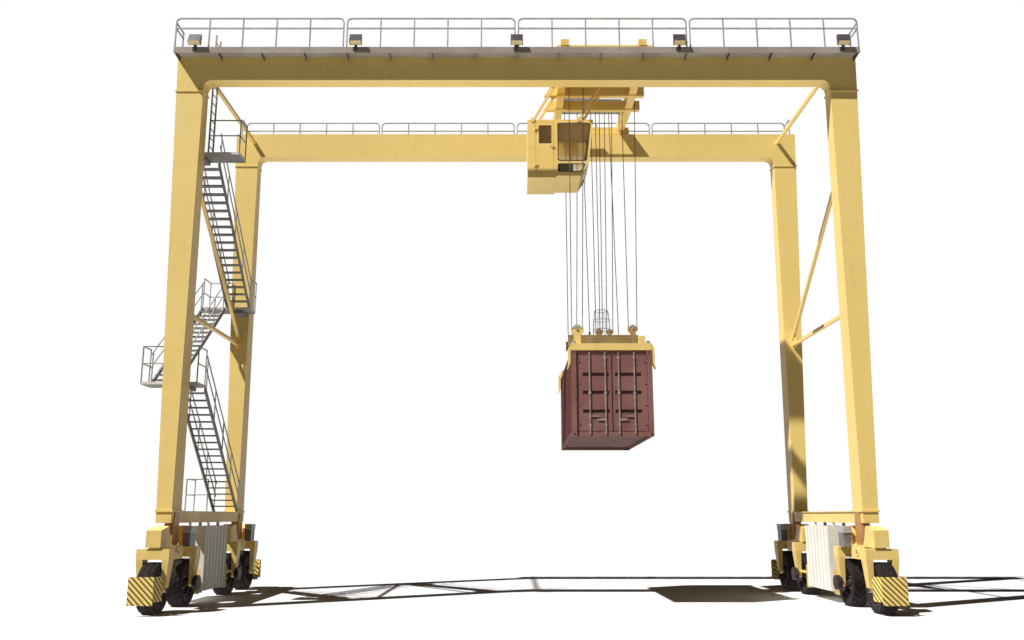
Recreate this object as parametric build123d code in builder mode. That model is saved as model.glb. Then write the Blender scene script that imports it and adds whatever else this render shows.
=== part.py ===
"""Rubber tyred gantry crane, full size, in millimetres.

X runs across the span (the way the trolley travels), Y along the crane's own
travel, Z up, with the ground at zero. Pieces are drawn about the middle of the
span and are set about the middle of the whole crane's width when they are
written, because the stairs stand out on one side only.
"""
from build123d import *
import math
import os

os.makedirs("parts", exist_ok=True)

# Running clearances
SEAT_GAP = 0.3
PIN_CLEARANCE = 0.05
MOVE_GAP = 8.0

# Portals and girders
HALF_WHEELBASE = 3200.0
GIRDER_WIDTH = 500.0
GIRDER_BOTTOM = 16110.0
GIRDER_DEPTH = 940.0
GIRDER_TOP = GIRDER_BOTTOM + GIRDER_DEPTH
HAUNCH_RADIUS = 250.0
SPLICE_HEIGHT = 15740.0
SPLICE_PLATE = 25.0
SPLICE_OVERHANG = 30.0
RAIL_WIDTH = 90.0
RAIL_HEIGHT = 70.0

# Legs: half spans at the foot and at the splice, and their depths along Y
LEG_FOOT_OUTER = 10295.0
LEG_FOOT_INNER = 9850.0
LEG_HEAD_OUTER = 10760.0
LEG_HEAD_INNER = 9915.0
LEG_FOOT_DEPTH = 790.0
LEG_HEAD_DEPTH = GIRDER_WIDTH
GIRDER_END = 10795.0

# Sill beams
SILL_TOP = 2740.0
SILL_HEIGHT = 340.0
SILL_BOTTOM = SILL_TOP - SILL_HEIGHT
SILL_HALF_LENGTH = 3600.0
SILL_CENTRE = (LEG_FOOT_OUTER + LEG_FOOT_INNER) / 2
SILL_WIDTH = LEG_FOOT_OUTER - LEG_FOOT_INNER
FLANGE_PLATE = 28.0
FLANGE_OVERHANG = 32.0

# Running gear
TRACK = 9960.0
WHEEL_SPACING = 2200.0
TYRE_RADIUS = 685.0
TYRE_WIDTH = 470.0
RIM_RADIUS = 400.0
RIM_WIDTH = 300.0
PATCH_DEPTH = 12.0
PIVOT_HEIGHT = 1590.0
PIVOT_PIN_RADIUS = 60.0
BEAM_HALF_WIDTH = 205.0
TONGUE_HALF_WIDTH = 130.0
CROWN_TOP = 1710.0
CROWN_BOTTOM = 1425.0
CROWN_HALF_WIDTH = 450.0
CROWN_HALF_DEPTH = 195.0
SLEW_RING_HEIGHT = 35.0
SLEW_RING_RADIUS = 190.0
ARM_INNER = 262.0
ARM_FOOT_OUTER = 375.0
ARM_FOOT_RADIUS = 120.0
AXLE_RADIUS = 55.0
GUARD_BOTTOM = 280.0
GUARD_TOP = 1010.0
GUARD_PLATE = 25.0
OUTER_GUARD_REACH = 830.0
OUTER_GUARD_HALF = 340.0
INNER_GUARD_REACH = 760.0
INNER_GUARD_HALF = 300.0

# Motor boxes on the inner face of each rocking beam, a smaller body under a wider cover
MOTOR_INNER = 9545.0
MOTOR_OFFSET = 640.0
MOTOR_Z = (1725.0, 2310.0)
MOTOR_SPLIT = 2110.0

# Machine houses under the sills
HOUSE_INNER = 9640.0
HOUSE_OUTER = 10500.0
HOUSE_HALF_LENGTH = 1130.0
HOUSE_TOP = 2290.0
HOUSE_BOTTOM = 340.0
HOUSE_RIBS = 7
HOUSE_RIB_DEPTH = 40.0
JUNCTION_X = (-9940.0, -9760.0)
JUNCTION_Z = (350.0, 770.0)

# Bracing
BRACE_SIZE = 110.0
TIE_LINE = 10100.0
TIE_HEIGHT = 16700.0
BRACE_NODE_HEIGHT = 8750.0
BRACE_HEAD_HEIGHT = 13300.0

# Walkways
WALK_WIDTH = 550.0
DECK_BOTTOM = 16885.0
DECK_PLATE = 35.0
FASCIA_BOTTOM = 16760.0
FASCIA_TOP = 16960.0
FASCIA_PLATE = 20.0
WALK_END_GAP = 55.0
WALK_HALF_LENGTH = GIRDER_END - WALK_END_GAP
BRACKETS = 17
BRACKET_PLATE = 20.0
RAIL_TOP = 17950.0
RAIL_MIDDLE = 17610.0
TUBE = 40.0
PANELS = 4
PANEL_GAP = 110.0
PANEL_POSTS = 6
PANEL_CORNER = 150.0

# Stairs on the left side
LANE_WIDTH = 840.0
INNER_LANE = -SILL_CENTRE
OUTER_LANE = INNER_LANE - LANE_WIDTH - 40.0
STRINGER = 45.0
STRINGER_DEPTH = 200.0
TREAD_DEPTH = 200.0
TREAD_PLATE = 40.0
LANDING_DEPTH = 800.0
LANDING_PLATE = 80.0
FOOT_OVERLAP = 150.0
FIRST_LANDING = 6560.0
SECOND_LANDING = 9980.0
TOP_LANDING = 13900.0
LANDING_RAIL = 1080.0
LANDING_MID_RAIL = 560.0
STAIR_RAIL = 950.0
STAIR_MID_RAIL = 520.0
FIRST_RISERS = 19
SECOND_RISERS = 17
THIRD_RISERS = 19
LAMP_HALF_WIDTH = 190.0
LAMP_LEFT_GAP = 690.0
LAMP_RIGHT_GAP = 540.0
INNER_LAMPS = (-5030.0, 0.0, 5080.0)

# Trolley, hanging between and rolling on the girders
TROLLEY_CENTRE = 2800.0
MAIN_BEAM_SPREAD = 1250.0
MAIN_BEAM_WIDTH = 260.0
MAIN_BEAM_TOP = 17600.0
MAIN_BEAM_MID_BOTTOM = 16960.0
CARRIAGE_TOP = 17400.0
CROSS_BEAM_WIDTH = 190.0
CROSS_BEAM_BOTTOM = 16910.0
CROSS_BEAM_TOP = 17270.0
CROSS_BEAM_ROWS = (-1450.0, -570.0, 570.0)
CROSS_BEAM_LEFT = -1820.0
CROSS_BEAM_RIGHT = 1650.0
TRAVEL_WHEEL_RADIUS = 100.0
DRUM_LINE = 1000.0
DRUM_RADIUS = 200.0

# Operator's cab, hung under the trolley
CAB_NEAR = -1600.0
CAB_WIDTH = 1650.0
CAB_BACK = 370.0
CAB_BACK_LENGTH = 950.0
CAB_FLOOR = 13550.0
CAB_LEDGE = 13610.0
CAB_ROOF = 15600.0
CAB_NOSE_TOP = 2570.0
CAB_NOSE_MID = 2400.0
CAB_NOSE_FOOT = 2130.0
CAB_SILL_HEIGHT = 14060.0
CAB_WALL = 50.0
CAB_DOOR_LEFT = 640.0
CAB_DOOR_WIDTH = 600.0
CAB_DOOR_BOTTOM = 13720.0
CAB_DOOR_HEIGHT = 1790.0
CAB_DOOR_THICKNESS = 35.0
HINGE_HEIGHTS = (13980.0, 15260.0)
HINGE_PIN_RADIUS = 9.0
GLASS = 12.0
CAB_STRUT_BACK = 550.0
CAB_STRUT_FRONT = 2080.0
CAB_STRUT_LEAN = 0.58
CAB_STRUT_SIZE = 90.0

# Load: twenty foot container, spreader and ropes
LOAD_CENTRE = 2852.0
CONTAINER_LENGTH = 6058.0
CONTAINER_WIDTH = 2438.0
CONTAINER_HEIGHT = 2591.0
CONTAINER_BOTTOM = 4905.0
CONTAINER_RIBS = 22
RIB_DEPTH = 36.0
CORNER_POST = 150.0
LOCK_BARS = ((-0.63, 430.0), (-0.19, 325.0), (0.19, 325.0), (0.63, 430.0))
LEVER_LENGTH = 260.0
END_BEAM_HEIGHT = 210.0
END_BEAM_DEPTH = 240.0
SPREADER_RAIL_SPREAD = 420.0
SPREADER_RAIL_WIDTH = 160.0
HEAD_ROW = 600.0
HEAD_FRAME_BOTTOM = 8120.0
HEAD_FRAME_TOP = 8420.0
FRONT_ROPE_LINE = -2750.0
ROPE = 28.0
ROPE_TOP = 17350.0
ROPE_BOTTOM = 8600.0
CAGE_WIRE = 14.0
DOOR_BANDS = (0.235, 0.478, 0.712)
DOOR_BAND_HEIGHT = 105.0
DOOR_RECESS = 45.0

# Rope sheaves: X, Y, height of the pin, radius and the height the block stands on
SHEAVES = (
    (1845.0, FRONT_ROPE_LINE, 8180.0, 170.0, 7690.0),
    (1815.0, 0.0, 8400.0, 75.0, 8280.0),
    (3837.0, -HEAD_ROW, 8650.0, 140.0, 8400.0),
    (2740.0, -500.0, 8570.0, 110.0, 8400.0),
    (3091.0, -500.0, 8570.0, 100.0, 8400.0),
)

# Sockets on the head frame for the ropes that end there
ROPE_SOCKETS = ((2070.0, HEAD_ROW), (2440.0, -280.0), (3510.0, HEAD_ROW), (2850.0, 320.0))

# Hoist ropes: X and Y at the trolley, then X and Y at the spreader
DRUM_ROPE_LINE = DRUM_LINE - DRUM_RADIUS - ROPE / 2 - SEAT_GAP
ROPES = (
    (1700.0, FRONT_ROPE_LINE, 1675.0, FRONT_ROPE_LINE),
    (2180.0, FRONT_ROPE_LINE, 2015.0, FRONT_ROPE_LINE),
    (1763.0, DRUM_ROPE_LINE, 1740.0, 0.0),
    (2228.0, DRUM_ROPE_LINE, 2070.0, HEAD_ROW),
    (2391.0, DRUM_ROPE_LINE, 2440.0, -280.0),
    (2707.0, DRUM_ROPE_LINE, 2630.0, -500.0),
    (3023.0, DRUM_ROPE_LINE, 2850.0, -500.0),
    (3212.0, DRUM_ROPE_LINE, 2991.0, -500.0),
    (3480.0, DRUM_ROPE_LINE, 3191.0, -500.0),
    (2878.0, DRUM_ROPE_LINE, 2850.0, 320.0),
    (3350.0, DRUM_ROPE_LINE, 3510.0, HEAD_ROW),
    (3843.0, DRUM_ROPE_LINE, 3697.0, -HEAD_ROW),
    (4250.0, 300.0, 3977.0, -HEAD_ROW),
)


# Values worked out from the driving sizes
HUB_HEIGHT = TYRE_RADIUS - PATCH_DEPTH
GIRDER_FACE = HALF_WHEELBASE + GIRDER_WIDTH / 2
GIRDER_BACK = HALF_WHEELBASE - GIRDER_WIDTH / 2
RAIL_LINE = GIRDER_FACE + WALK_WIDTH - FASCIA_PLATE - TUBE / 2
DECK_TOP = DECK_BOTTOM + DECK_PLATE
SLEW_SEAT = CROWN_TOP + SLEW_RING_HEIGHT
CAB_FAR = CAB_NEAR + CAB_WIDTH
CAB_STEP = CAB_BACK + CAB_BACK_LENGTH
HINGE_LINE = CAB_NEAR - 24.0
CONTAINER_TOP = CONTAINER_BOTTOM + CONTAINER_HEIGHT
CONTAINER_SIDE = CONTAINER_WIDTH / 2
CONTAINER_END = CONTAINER_LENGTH / 2
BRACE_LINE = (LEG_FOOT_INNER + LEG_FOOT_OUTER + LEG_HEAD_INNER + LEG_HEAD_OUTER) / 4
SIDES = {"left": -1, "right": 1}
ENDS = {"front": -1, "rear": 1}

pieces = {}


def keep(name, builder):
    """Label a finished piece and put it on the list of pieces to write."""
    builder.part.label = name
    pieces[name] = builder.part


def bar(start, end, width, height=None):
    """Make a straight bar of rectangular section between two points."""
    run = Vector(*end) - Vector(*start)
    across = (0, 1, 0) if abs(run.X) > 0.8 * run.length else (1, 0, 0)
    with BuildPart() as made:
        with BuildSketch(Plane(origin=start, x_dir=across, z_dir=run)):
            Rectangle(width, height or width)
        extrude(amount=run.length)
    return made.part


def plate(x_range, y_range, z_range):
    """Make a square plate or block from its limits along X, Y and Z."""
    with BuildPart() as made:
        with BuildSketch(Plane.XY.offset(z_range[0])):
            with Locations(((x_range[0] + x_range[1]) / 2, (y_range[0] + y_range[1]) / 2)):
                Rectangle(x_range[1] - x_range[0], y_range[1] - y_range[0])
        extrude(amount=z_range[1] - z_range[0])
    return made.part


def side_profile(points, x_low, x_high):
    """Extrude an outline of Y and Z points from one X to another."""
    with BuildPart() as made:
        with BuildSketch(Plane.YZ.offset(x_low)):
            with BuildLine():
                Polyline(*points, close=True)
            make_face()
        extrude(amount=x_high - x_low)
    return made.part


def front_profile(points, y_low, y_high):
    """Extrude an outline of X and Z points from one Y to another."""
    with BuildPart() as made:
        with BuildSketch(Plane.XZ.offset(-y_high)):
            with BuildLine():
                Polyline(*points, close=True)
            make_face()
        extrude(amount=y_high - y_low)
    return made.part


def disc(centre, axis, radius, length):
    """Make a round disc or shaft that starts at a point and runs along an axis."""
    with BuildPart() as made:
        with BuildSketch(Plane(origin=centre, z_dir=axis)):
            Circle(radius)
        extrude(amount=length)
    return made.part


def leg_half_depth(z):
    """Half the depth of a leg along Y at one height."""
    share = (z - SILL_TOP) / (SPLICE_HEIGHT - SILL_TOP)
    return (LEG_FOOT_DEPTH + (LEG_HEAD_DEPTH - LEG_FOOT_DEPTH) * share) / 2


# Portal girders, each with its two end stubs and rounded haunches
def portal_girder(y):
    """Make one girder whose ends turn down to meet the legs at a bolted splice."""
    stub_middle = (LEG_HEAD_INNER + LEG_HEAD_OUTER) / 2
    with BuildPart() as made:
        with BuildSketch(Plane.XZ.offset(-(y + GIRDER_WIDTH / 2))):
            with BuildLine():
                Line((0, GIRDER_TOP), (0, GIRDER_BOTTOM))
                Line((0, GIRDER_BOTTOM), (LEG_HEAD_INNER - HAUNCH_RADIUS, GIRDER_BOTTOM))
                TangentArc(
                    (LEG_HEAD_INNER - HAUNCH_RADIUS, GIRDER_BOTTOM),
                    (LEG_HEAD_INNER, GIRDER_BOTTOM - HAUNCH_RADIUS),
                    tangent=(1, 0),
                )
                Polyline(
                    (LEG_HEAD_INNER, GIRDER_BOTTOM - HAUNCH_RADIUS),
                    (LEG_HEAD_INNER, SPLICE_HEIGHT),
                    (LEG_HEAD_OUTER, SPLICE_HEIGHT),
                    (GIRDER_END, GIRDER_TOP),
                    (0, GIRDER_TOP),
                )
            make_face()
            mirror(about=Plane.YZ)
        extrude(amount=GIRDER_WIDTH)
        with BuildSketch(Plane.XY.offset(SPLICE_HEIGHT)):
            with Locations((-stub_middle, y), (stub_middle, y)):
                Rectangle(
                    LEG_HEAD_OUTER - LEG_HEAD_INNER + 2 * SPLICE_OVERHANG,
                    GIRDER_WIDTH + 2 * SPLICE_OVERHANG,
                )
        extrude(amount=SPLICE_PLATE)
    return made


for end, sign in ENDS.items():
    keep(f"girder_{end}", portal_girder(sign * HALF_WHEELBASE))


# Tapered box legs with bolted flanges at head and foot
def tapered_leg(side, y):
    """Loft one leg from its foot on the sill to the splice under the girder."""
    head_middle = side * (LEG_HEAD_INNER + LEG_HEAD_OUTER) / 2
    head_width = LEG_HEAD_OUTER - LEG_HEAD_INNER
    with BuildPart() as made:
        with BuildSketch(Plane.XY.offset(SILL_TOP)):
            with Locations((side * SILL_CENTRE, y)):
                Rectangle(SILL_WIDTH, LEG_FOOT_DEPTH)
        with BuildSketch(Plane.XY.offset(SPLICE_HEIGHT)):
            with Locations((head_middle, y)):
                Rectangle(head_width, LEG_HEAD_DEPTH)
        loft()
        with BuildSketch(Plane.XY.offset(SPLICE_HEIGHT - SPLICE_PLATE)):
            with Locations((head_middle, y)):
                Rectangle(head_width + 2 * SPLICE_OVERHANG, LEG_HEAD_DEPTH + 2 * SPLICE_OVERHANG)
        extrude(amount=SPLICE_PLATE)
        with BuildSketch(Plane.XY.offset(SILL_TOP)):
            with Locations((side * SILL_CENTRE, y)):
                Rectangle(SILL_WIDTH + 2 * FLANGE_OVERHANG, LEG_FOOT_DEPTH + 2 * FLANGE_OVERHANG)
        extrude(amount=FLANGE_PLATE)
    return made


legs = {}
for end, sign in ENDS.items():
    for side, hand in SIDES.items():
        legs[end, side] = tapered_leg(hand, sign * HALF_WHEELBASE)
        keep(f"leg_{end}_{side}", legs[end, side])

# Sill beams with a wider top plate that the legs bolt to
for side, hand in SIDES.items():
    with BuildPart() as sill:
        with BuildSketch(Plane.XY.offset(SILL_BOTTOM)):
            with Locations((hand * SILL_CENTRE, 0)):
                Rectangle(SILL_WIDTH, 2 * SILL_HALF_LENGTH)
        extrude(amount=SILL_HEIGHT)
        with BuildSketch(Plane.XY.offset(SILL_TOP - FLANGE_PLATE)):
            with Locations((hand * SILL_CENTRE, 0)):
                Rectangle(SILL_WIDTH + 2 * FLANGE_OVERHANG, 2 * SILL_HALF_LENGTH + 2 * FLANGE_OVERHANG)
        extrude(amount=FLANGE_PLATE)
    keep(f"sill_{side}", sill)

# Bracing between the front and rear legs of each side
for side, hand in SIDES.items():
    node_face = HALF_WHEELBASE - leg_half_depth(BRACE_NODE_HEIGHT)
    line = hand * BRACE_LINE
    node_point = (line, HALF_WHEELBASE, BRACE_NODE_HEIGHT)
    strut = bar((line, -HALF_WHEELBASE, BRACE_NODE_HEIGHT), node_point, BRACE_SIZE)
    diagonal = bar((line, -HALF_WHEELBASE, BRACE_HEAD_HEIGHT + 230), node_point, BRACE_SIZE)
    gusset = side_profile(
        [
            (HALF_WHEELBASE, BRACE_NODE_HEIGHT - 250),
            (node_face - 350, BRACE_NODE_HEIGHT - 60),
            (node_face - 350, BRACE_NODE_HEIGHT + 160),
            (HALF_WHEELBASE, BRACE_NODE_HEIGHT + 500),
        ],
        line - 12,
        line + 12,
    )
    with BuildPart() as brace:
        add([strut, diagonal, gusset])
        add([legs["front", side].part, legs["rear", side].part], mode=Mode.SUBTRACT)
    keep(f"brace_{side}", brace)

# Tie bars that hold the two girders apart, near their ends
with BuildPart() as tie_bars:
    for hand in SIDES.values():
        line = hand * TIE_LINE
        add(bar((line, -GIRDER_BACK, TIE_HEIGHT), (line, GIRDER_BACK, TIE_HEIGHT), BRACE_SIZE))
keep("tie_bars", tie_bars)

# Crane rails on top of the girders
with BuildPart() as trolley_rails:
    with BuildSketch(Plane.XY.offset(GIRDER_TOP)):
        with Locations((0, -HALF_WHEELBASE), (0, HALF_WHEELBASE)):
            Rectangle(2 * LEG_FOOT_INNER, RAIL_WIDTH)
    extrude(amount=RAIL_HEIGHT)
keep("trolley_rails", trolley_rails)


# Walkways along the outside of each girder, on brackets
def walkway(sign):
    """Make the deck, its upstand and the brackets beneath on one girder."""
    near, far = sorted((sign * GIRDER_FACE, sign * (GIRDER_FACE + WALK_WIDTH)))
    edge = sign * (GIRDER_FACE + WALK_WIDTH)
    fascia = sorted((edge, edge - sign * FASCIA_PLATE))
    parts = [
        plate((-WALK_HALF_LENGTH, WALK_HALF_LENGTH), (near, far), (DECK_BOTTOM, DECK_TOP)),
        plate((-WALK_HALF_LENGTH, WALK_HALF_LENGTH), fascia, (FASCIA_BOTTOM, FASCIA_TOP)),
    ]
    pitch = 2 * (WALK_HALF_LENGTH - BRACKET_PLATE) / (BRACKETS - 1)
    for number in range(BRACKETS):
        x = -WALK_HALF_LENGTH + BRACKET_PLATE + number * pitch
        outline = [
            (sign * GIRDER_FACE, FASCIA_BOTTOM - 30),
            (edge - sign * FASCIA_PLATE / 2, FASCIA_BOTTOM + 20),
            (edge - sign * FASCIA_PLATE / 2, DECK_BOTTOM + DECK_PLATE / 2),
            (sign * GIRDER_FACE, DECK_BOTTOM + DECK_PLATE / 2),
        ]
        parts.append(side_profile(outline, x - BRACKET_PLATE / 2, x + BRACKET_PLATE / 2))
    with BuildPart() as made:
        add(parts)
    return made


def rail_loop(x_low, x_high, y):
    """Sweep one railing panel: up at one end, along the top and down at the other."""
    plane = Plane.XZ.offset(-y)
    with BuildPart() as made:
        with BuildLine(plane) as path:
            FilletPolyline(
                (x_low, DECK_TOP),
                (x_low, RAIL_TOP),
                (x_high, RAIL_TOP),
                (x_high, DECK_TOP),
                radius=PANEL_CORNER,
            )
        with BuildSketch(Plane.XY.offset(DECK_TOP)):
            with Locations((x_low, y)):
                Rectangle(TUBE, TUBE)
        sweep(path=path.line)
    return made.part


def railing(sign):
    """Make the railing panels of one walkway and the returns at its ends."""
    y = sign * RAIL_LINE
    return_end = sign * (HALF_WHEELBASE + 130)
    length = (2 * (WALK_HALF_LENGTH - TUBE / 2) - (PANELS - 1) * PANEL_GAP) / PANELS
    parts = []
    for number in range(PANELS):
        low = -WALK_HALF_LENGTH + TUBE / 2 + number * (length + PANEL_GAP)
        parts.append(rail_loop(low, low + length, y))
        parts.append(bar((low, y, RAIL_MIDDLE), (low + length, y, RAIL_MIDDLE), TUBE))
        for post in range(1, PANEL_POSTS - 1):
            x = low + post * length / (PANEL_POSTS - 1)
            parts.append(bar((x, y, DECK_TOP), (x, y, RAIL_TOP), TUBE))
    for x in (-WALK_HALF_LENGTH + TUBE / 2, WALK_HALF_LENGTH - TUBE / 2):
        parts.append(bar((x, y, RAIL_TOP - PANEL_CORNER), (x, return_end, RAIL_TOP - PANEL_CORNER), TUBE))
        parts.append(bar((x, y, RAIL_MIDDLE), (x, return_end, RAIL_MIDDLE), TUBE))
        post_top = RAIL_TOP - PANEL_CORNER + TUBE / 2
        parts.append(bar((x, return_end, GIRDER_TOP), (x, return_end, post_top), TUBE))
    with BuildPart() as made:
        add(parts)
    return made


for end, sign in ENDS.items():
    keep(f"walkway_{end}", walkway(sign))
    keep(f"railing_{end}", railing(sign))


# Posts under the sills, each with the tongue and pin that its wheel beam rocks on
def hanger(side, y):
    """Make one hanging post: side gusset, tapered post, rounded tongue and pivot pin."""
    centre = side * TRACK
    post = [
        (y - 220, SILL_BOTTOM),
        (y - 280, PIVOT_HEIGHT + 290),
        (y - 175, PIVOT_HEIGHT + 170),
        (y - 150, PIVOT_HEIGHT),
        (y - 75, PIVOT_HEIGHT - 130),
        (y + 75, PIVOT_HEIGHT - 130),
        (y + 150, PIVOT_HEIGHT),
        (y + 175, PIVOT_HEIGHT + 170),
        (y + 280, PIVOT_HEIGHT + 290),
        (y + 220, SILL_BOTTOM),
    ]
    gusset = [
        (y - 170, SILL_TOP - FLANGE_PLATE),
        (y - 222, SILL_BOTTOM - 20),
        (y + 222, SILL_BOTTOM - 20),
        (y + 170, SILL_TOP - FLANGE_PLATE),
    ]
    inner_face = sorted((side * LEG_FOOT_INNER, side * (LEG_FOOT_INNER - 30)))
    with BuildPart() as made:
        add(side_profile(post, centre - TONGUE_HALF_WIDTH, centre + TONGUE_HALF_WIDTH))
        add(side_profile(gusset, *inner_face))
        pin_half = BEAM_HALF_WIDTH + 30
        add(disc((centre - pin_half, y, PIVOT_HEIGHT), (1, 0, 0), PIVOT_PIN_RADIUS, 2 * pin_half))
    return made.part


with BuildPart() as pivot_posts:
    add([hanger(hand, sign * HALF_WHEELBASE) for hand in SIDES.values() for sign in ENDS.values()])
keep("pivot_posts", pivot_posts)


# Wheel beams: rock on the posts and carry a wheel fork under each raised end
def wheel_beam(side, y):
    """Make one rocking beam with a slot for the tongue and a bore for the pin."""
    half = [
        (450, PIVOT_HEIGHT - 200),
        (560, SLEW_SEAT),
        (WHEEL_SPACING / 2 + 230, SLEW_SEAT),
        (WHEEL_SPACING / 2 + 230, 2210),
        (750, 2320),
        (600, 1950),
        (450, PIVOT_HEIGHT + 190),
    ]
    outline = [(y + a, b) for a, b in half] + [(y - a, b) for a, b in reversed(half)]
    centre = side * TRACK
    slot = TONGUE_HALF_WIDTH + MOVE_GAP
    with BuildPart() as made:
        add(side_profile(outline, centre - BEAM_HALF_WIDTH, centre + BEAM_HALF_WIDTH))
        add(plate((centre - slot, centre + slot), (y - 330, y + 330), (1200, 2100)), mode=Mode.SUBTRACT)
        bore = disc(
            (centre - 300, y, PIVOT_HEIGHT), (1, 0, 0), PIVOT_PIN_RADIUS + PIN_CLEARANCE, 600
        )
        add(bore, mode=Mode.SUBTRACT)
        motor_x = sorted((side * MOTOR_INNER, centre - side * (BEAM_HALF_WIDTH - 20)))
        add(plate(motor_x, (y + MOTOR_OFFSET - 230, y + MOTOR_OFFSET + 230), MOTOR_Z))
        cover_x = sorted((side * (MOTOR_INNER - 15), centre - side * (BEAM_HALF_WIDTH - 20)))
        add(plate(cover_x, (y + MOTOR_OFFSET - 250, y + MOTOR_OFFSET + 250), (MOTOR_SPLIT, MOTOR_Z[1])))
    return made


# Wheel forks that steer about a ring under the beam, each with a guard plate
def wheel_fork(side, y, outward, is_driven):
    """Make one fork: crown, two tapered arms, axle, slewing ring and guard."""
    centre = side * TRACK
    reach = INNER_GUARD_REACH if is_driven else OUTER_GUARD_REACH
    half = INNER_GUARD_HALF if is_driven else OUTER_GUARD_HALF
    front = [
        (centre - CROWN_HALF_WIDTH, CROWN_TOP),
        (centre - CROWN_HALF_WIDTH, CROWN_BOTTOM),
        (centre - ARM_FOOT_OUTER, HUB_HEIGHT - ARM_FOOT_RADIUS),
        (centre - ARM_INNER, HUB_HEIGHT - ARM_FOOT_RADIUS),
        (centre - ARM_INNER, CROWN_BOTTOM),
        (centre + ARM_INNER, CROWN_BOTTOM),
        (centre + ARM_INNER, HUB_HEIGHT - ARM_FOOT_RADIUS),
        (centre + ARM_FOOT_OUTER, HUB_HEIGHT - ARM_FOOT_RADIUS),
        (centre + CROWN_HALF_WIDTH, CROWN_BOTTOM),
        (centre + CROWN_HALF_WIDTH, CROWN_TOP),
    ]
    with BuildPart() as made:
        add(front_profile(front, y - CROWN_HALF_DEPTH, y + CROWN_HALF_DEPTH))
        with BuildSketch(Plane.YZ.offset(centre - CROWN_HALF_WIDTH)):
            with BuildLine():
                Polyline(
                    (y - ARM_FOOT_RADIUS, HUB_HEIGHT),
                    (y - CROWN_HALF_DEPTH, CROWN_BOTTOM),
                    (y - CROWN_HALF_DEPTH, CROWN_TOP),
                    (y + CROWN_HALF_DEPTH, CROWN_TOP),
                    (y + CROWN_HALF_DEPTH, CROWN_BOTTOM),
                    (y + ARM_FOOT_RADIUS, HUB_HEIGHT),
                )
                RadiusArc(
                    (y + ARM_FOOT_RADIUS, HUB_HEIGHT), (y - ARM_FOOT_RADIUS, HUB_HEIGHT), ARM_FOOT_RADIUS
                )
            make_face()
        extrude(amount=2 * CROWN_HALF_WIDTH, mode=Mode.INTERSECT)
        add(disc((centre, y, CROWN_TOP), (0, 0, 1), SLEW_RING_RADIUS, SLEW_RING_HEIGHT - SEAT_GAP))
        add(disc((centre - ARM_INNER, y, HUB_HEIGHT), (1, 0, 0), AXLE_RADIUS, 2 * ARM_INNER))
        plate_y = sorted((y + outward * reach, y + outward * (reach + GUARD_PLATE)))
        add(plate((centre - half, centre + half), plate_y, (GUARD_BOTTOM, GUARD_TOP)))
        for hand in (-1, 1):
            stay_x = sorted((centre + hand * (ARM_INNER + 5), centre + hand * (ARM_INNER + 35)))
            stay_y = sorted((y + outward * 100, y + outward * (reach + 5)))
            add(plate(stay_x, stay_y, (HUB_HEIGHT + 60, HUB_HEIGHT + 140)))
        if is_driven:
            inboard = centre - side * ARM_FOOT_OUTER
            add(disc((inboard, y, HUB_HEIGHT), (-side, 0, 0), 210, 150))
        else:
            wing_x = centre - side * half
            wing = [
                (wing_x, y + outward * (reach + GUARD_PLATE)),
                (wing_x, y + outward * reach),
                (wing_x - side * 130, y + outward * (reach - 240)),
                (wing_x - side * 152, y + outward * (reach - 226)),
            ]
            with BuildSketch(Plane.XY.offset(GUARD_BOTTOM + 90)):
                with BuildLine():
                    Polyline(*wing, close=True)
                make_face()
            extrude(amount=GUARD_TOP - GUARD_BOTTOM - 90)
    return made


def road_wheel(x, y):
    """Revolve one tyre on its dished rim, with the flat where it meets the ground."""
    tyre_half = TYRE_WIDTH / 2
    rim_half = RIM_WIDTH / 2
    hub_half = ARM_INNER - MOVE_GAP
    bore = AXLE_RADIUS + PIN_CLEARANCE
    axle = Axis((x, y, HUB_HEIGHT), (1, 0, 0))
    with BuildPart() as made:
        with BuildSketch(Plane.XY.offset(HUB_HEIGHT)):
            with BuildLine():
                Polyline(
                    (x - rim_half, y + RIM_RADIUS + SEAT_GAP),
                    (x - tyre_half, y + 520),
                    (x - tyre_half + 15, y + 640),
                    (x - tyre_half + 60, y + TYRE_RADIUS),
                    (x + tyre_half - 60, y + TYRE_RADIUS),
                    (x + tyre_half - 15, y + 640),
                    (x + tyre_half, y + 520),
                    (x + rim_half, y + RIM_RADIUS + SEAT_GAP),
                    close=True,
                )
            make_face()
        revolve(axis=axle)
        with BuildSketch(Plane.XY.offset(-100)):
            with Locations((x, y)):
                Rectangle(2 * TYRE_WIDTH, TYRE_RADIUS)
        extrude(amount=100, mode=Mode.SUBTRACT)
        with BuildSketch(Plane.XY.offset(HUB_HEIGHT)):
            with BuildLine():
                Polyline(
                    (x - hub_half, y + bore),
                    (x - hub_half, y + 130),
                    (x - 30, y + 150),
                    (x - 30, y + 340),
                    (x - rim_half, y + 360),
                    (x - rim_half, y + RIM_RADIUS),
                    (x + rim_half, y + RIM_RADIUS),
                    (x + rim_half, y + 360),
                    (x + 30, y + 340),
                    (x + 30, y + 150),
                    (x + hub_half, y + 130),
                    (x + hub_half, y + bore),
                    close=True,
                )
            make_face()
        revolve(axis=axle)
    return made


for end, sign in ENDS.items():
    for side, hand in SIDES.items():
        corner_y = sign * HALF_WHEELBASE
        keep(f"wheel_beam_{end}_{side}", wheel_beam(hand, corner_y))
        for place, outward in (("outer", sign), ("inner", -sign)):
            wheel_y = corner_y + outward * WHEEL_SPACING / 2
            name = f"{end}_{side}_{place}"
            keep(f"fork_{name}", wheel_fork(hand, wheel_y, outward, place == "inner"))
            keep(f"wheel_{name}", road_wheel(hand * TRACK, wheel_y))


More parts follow.
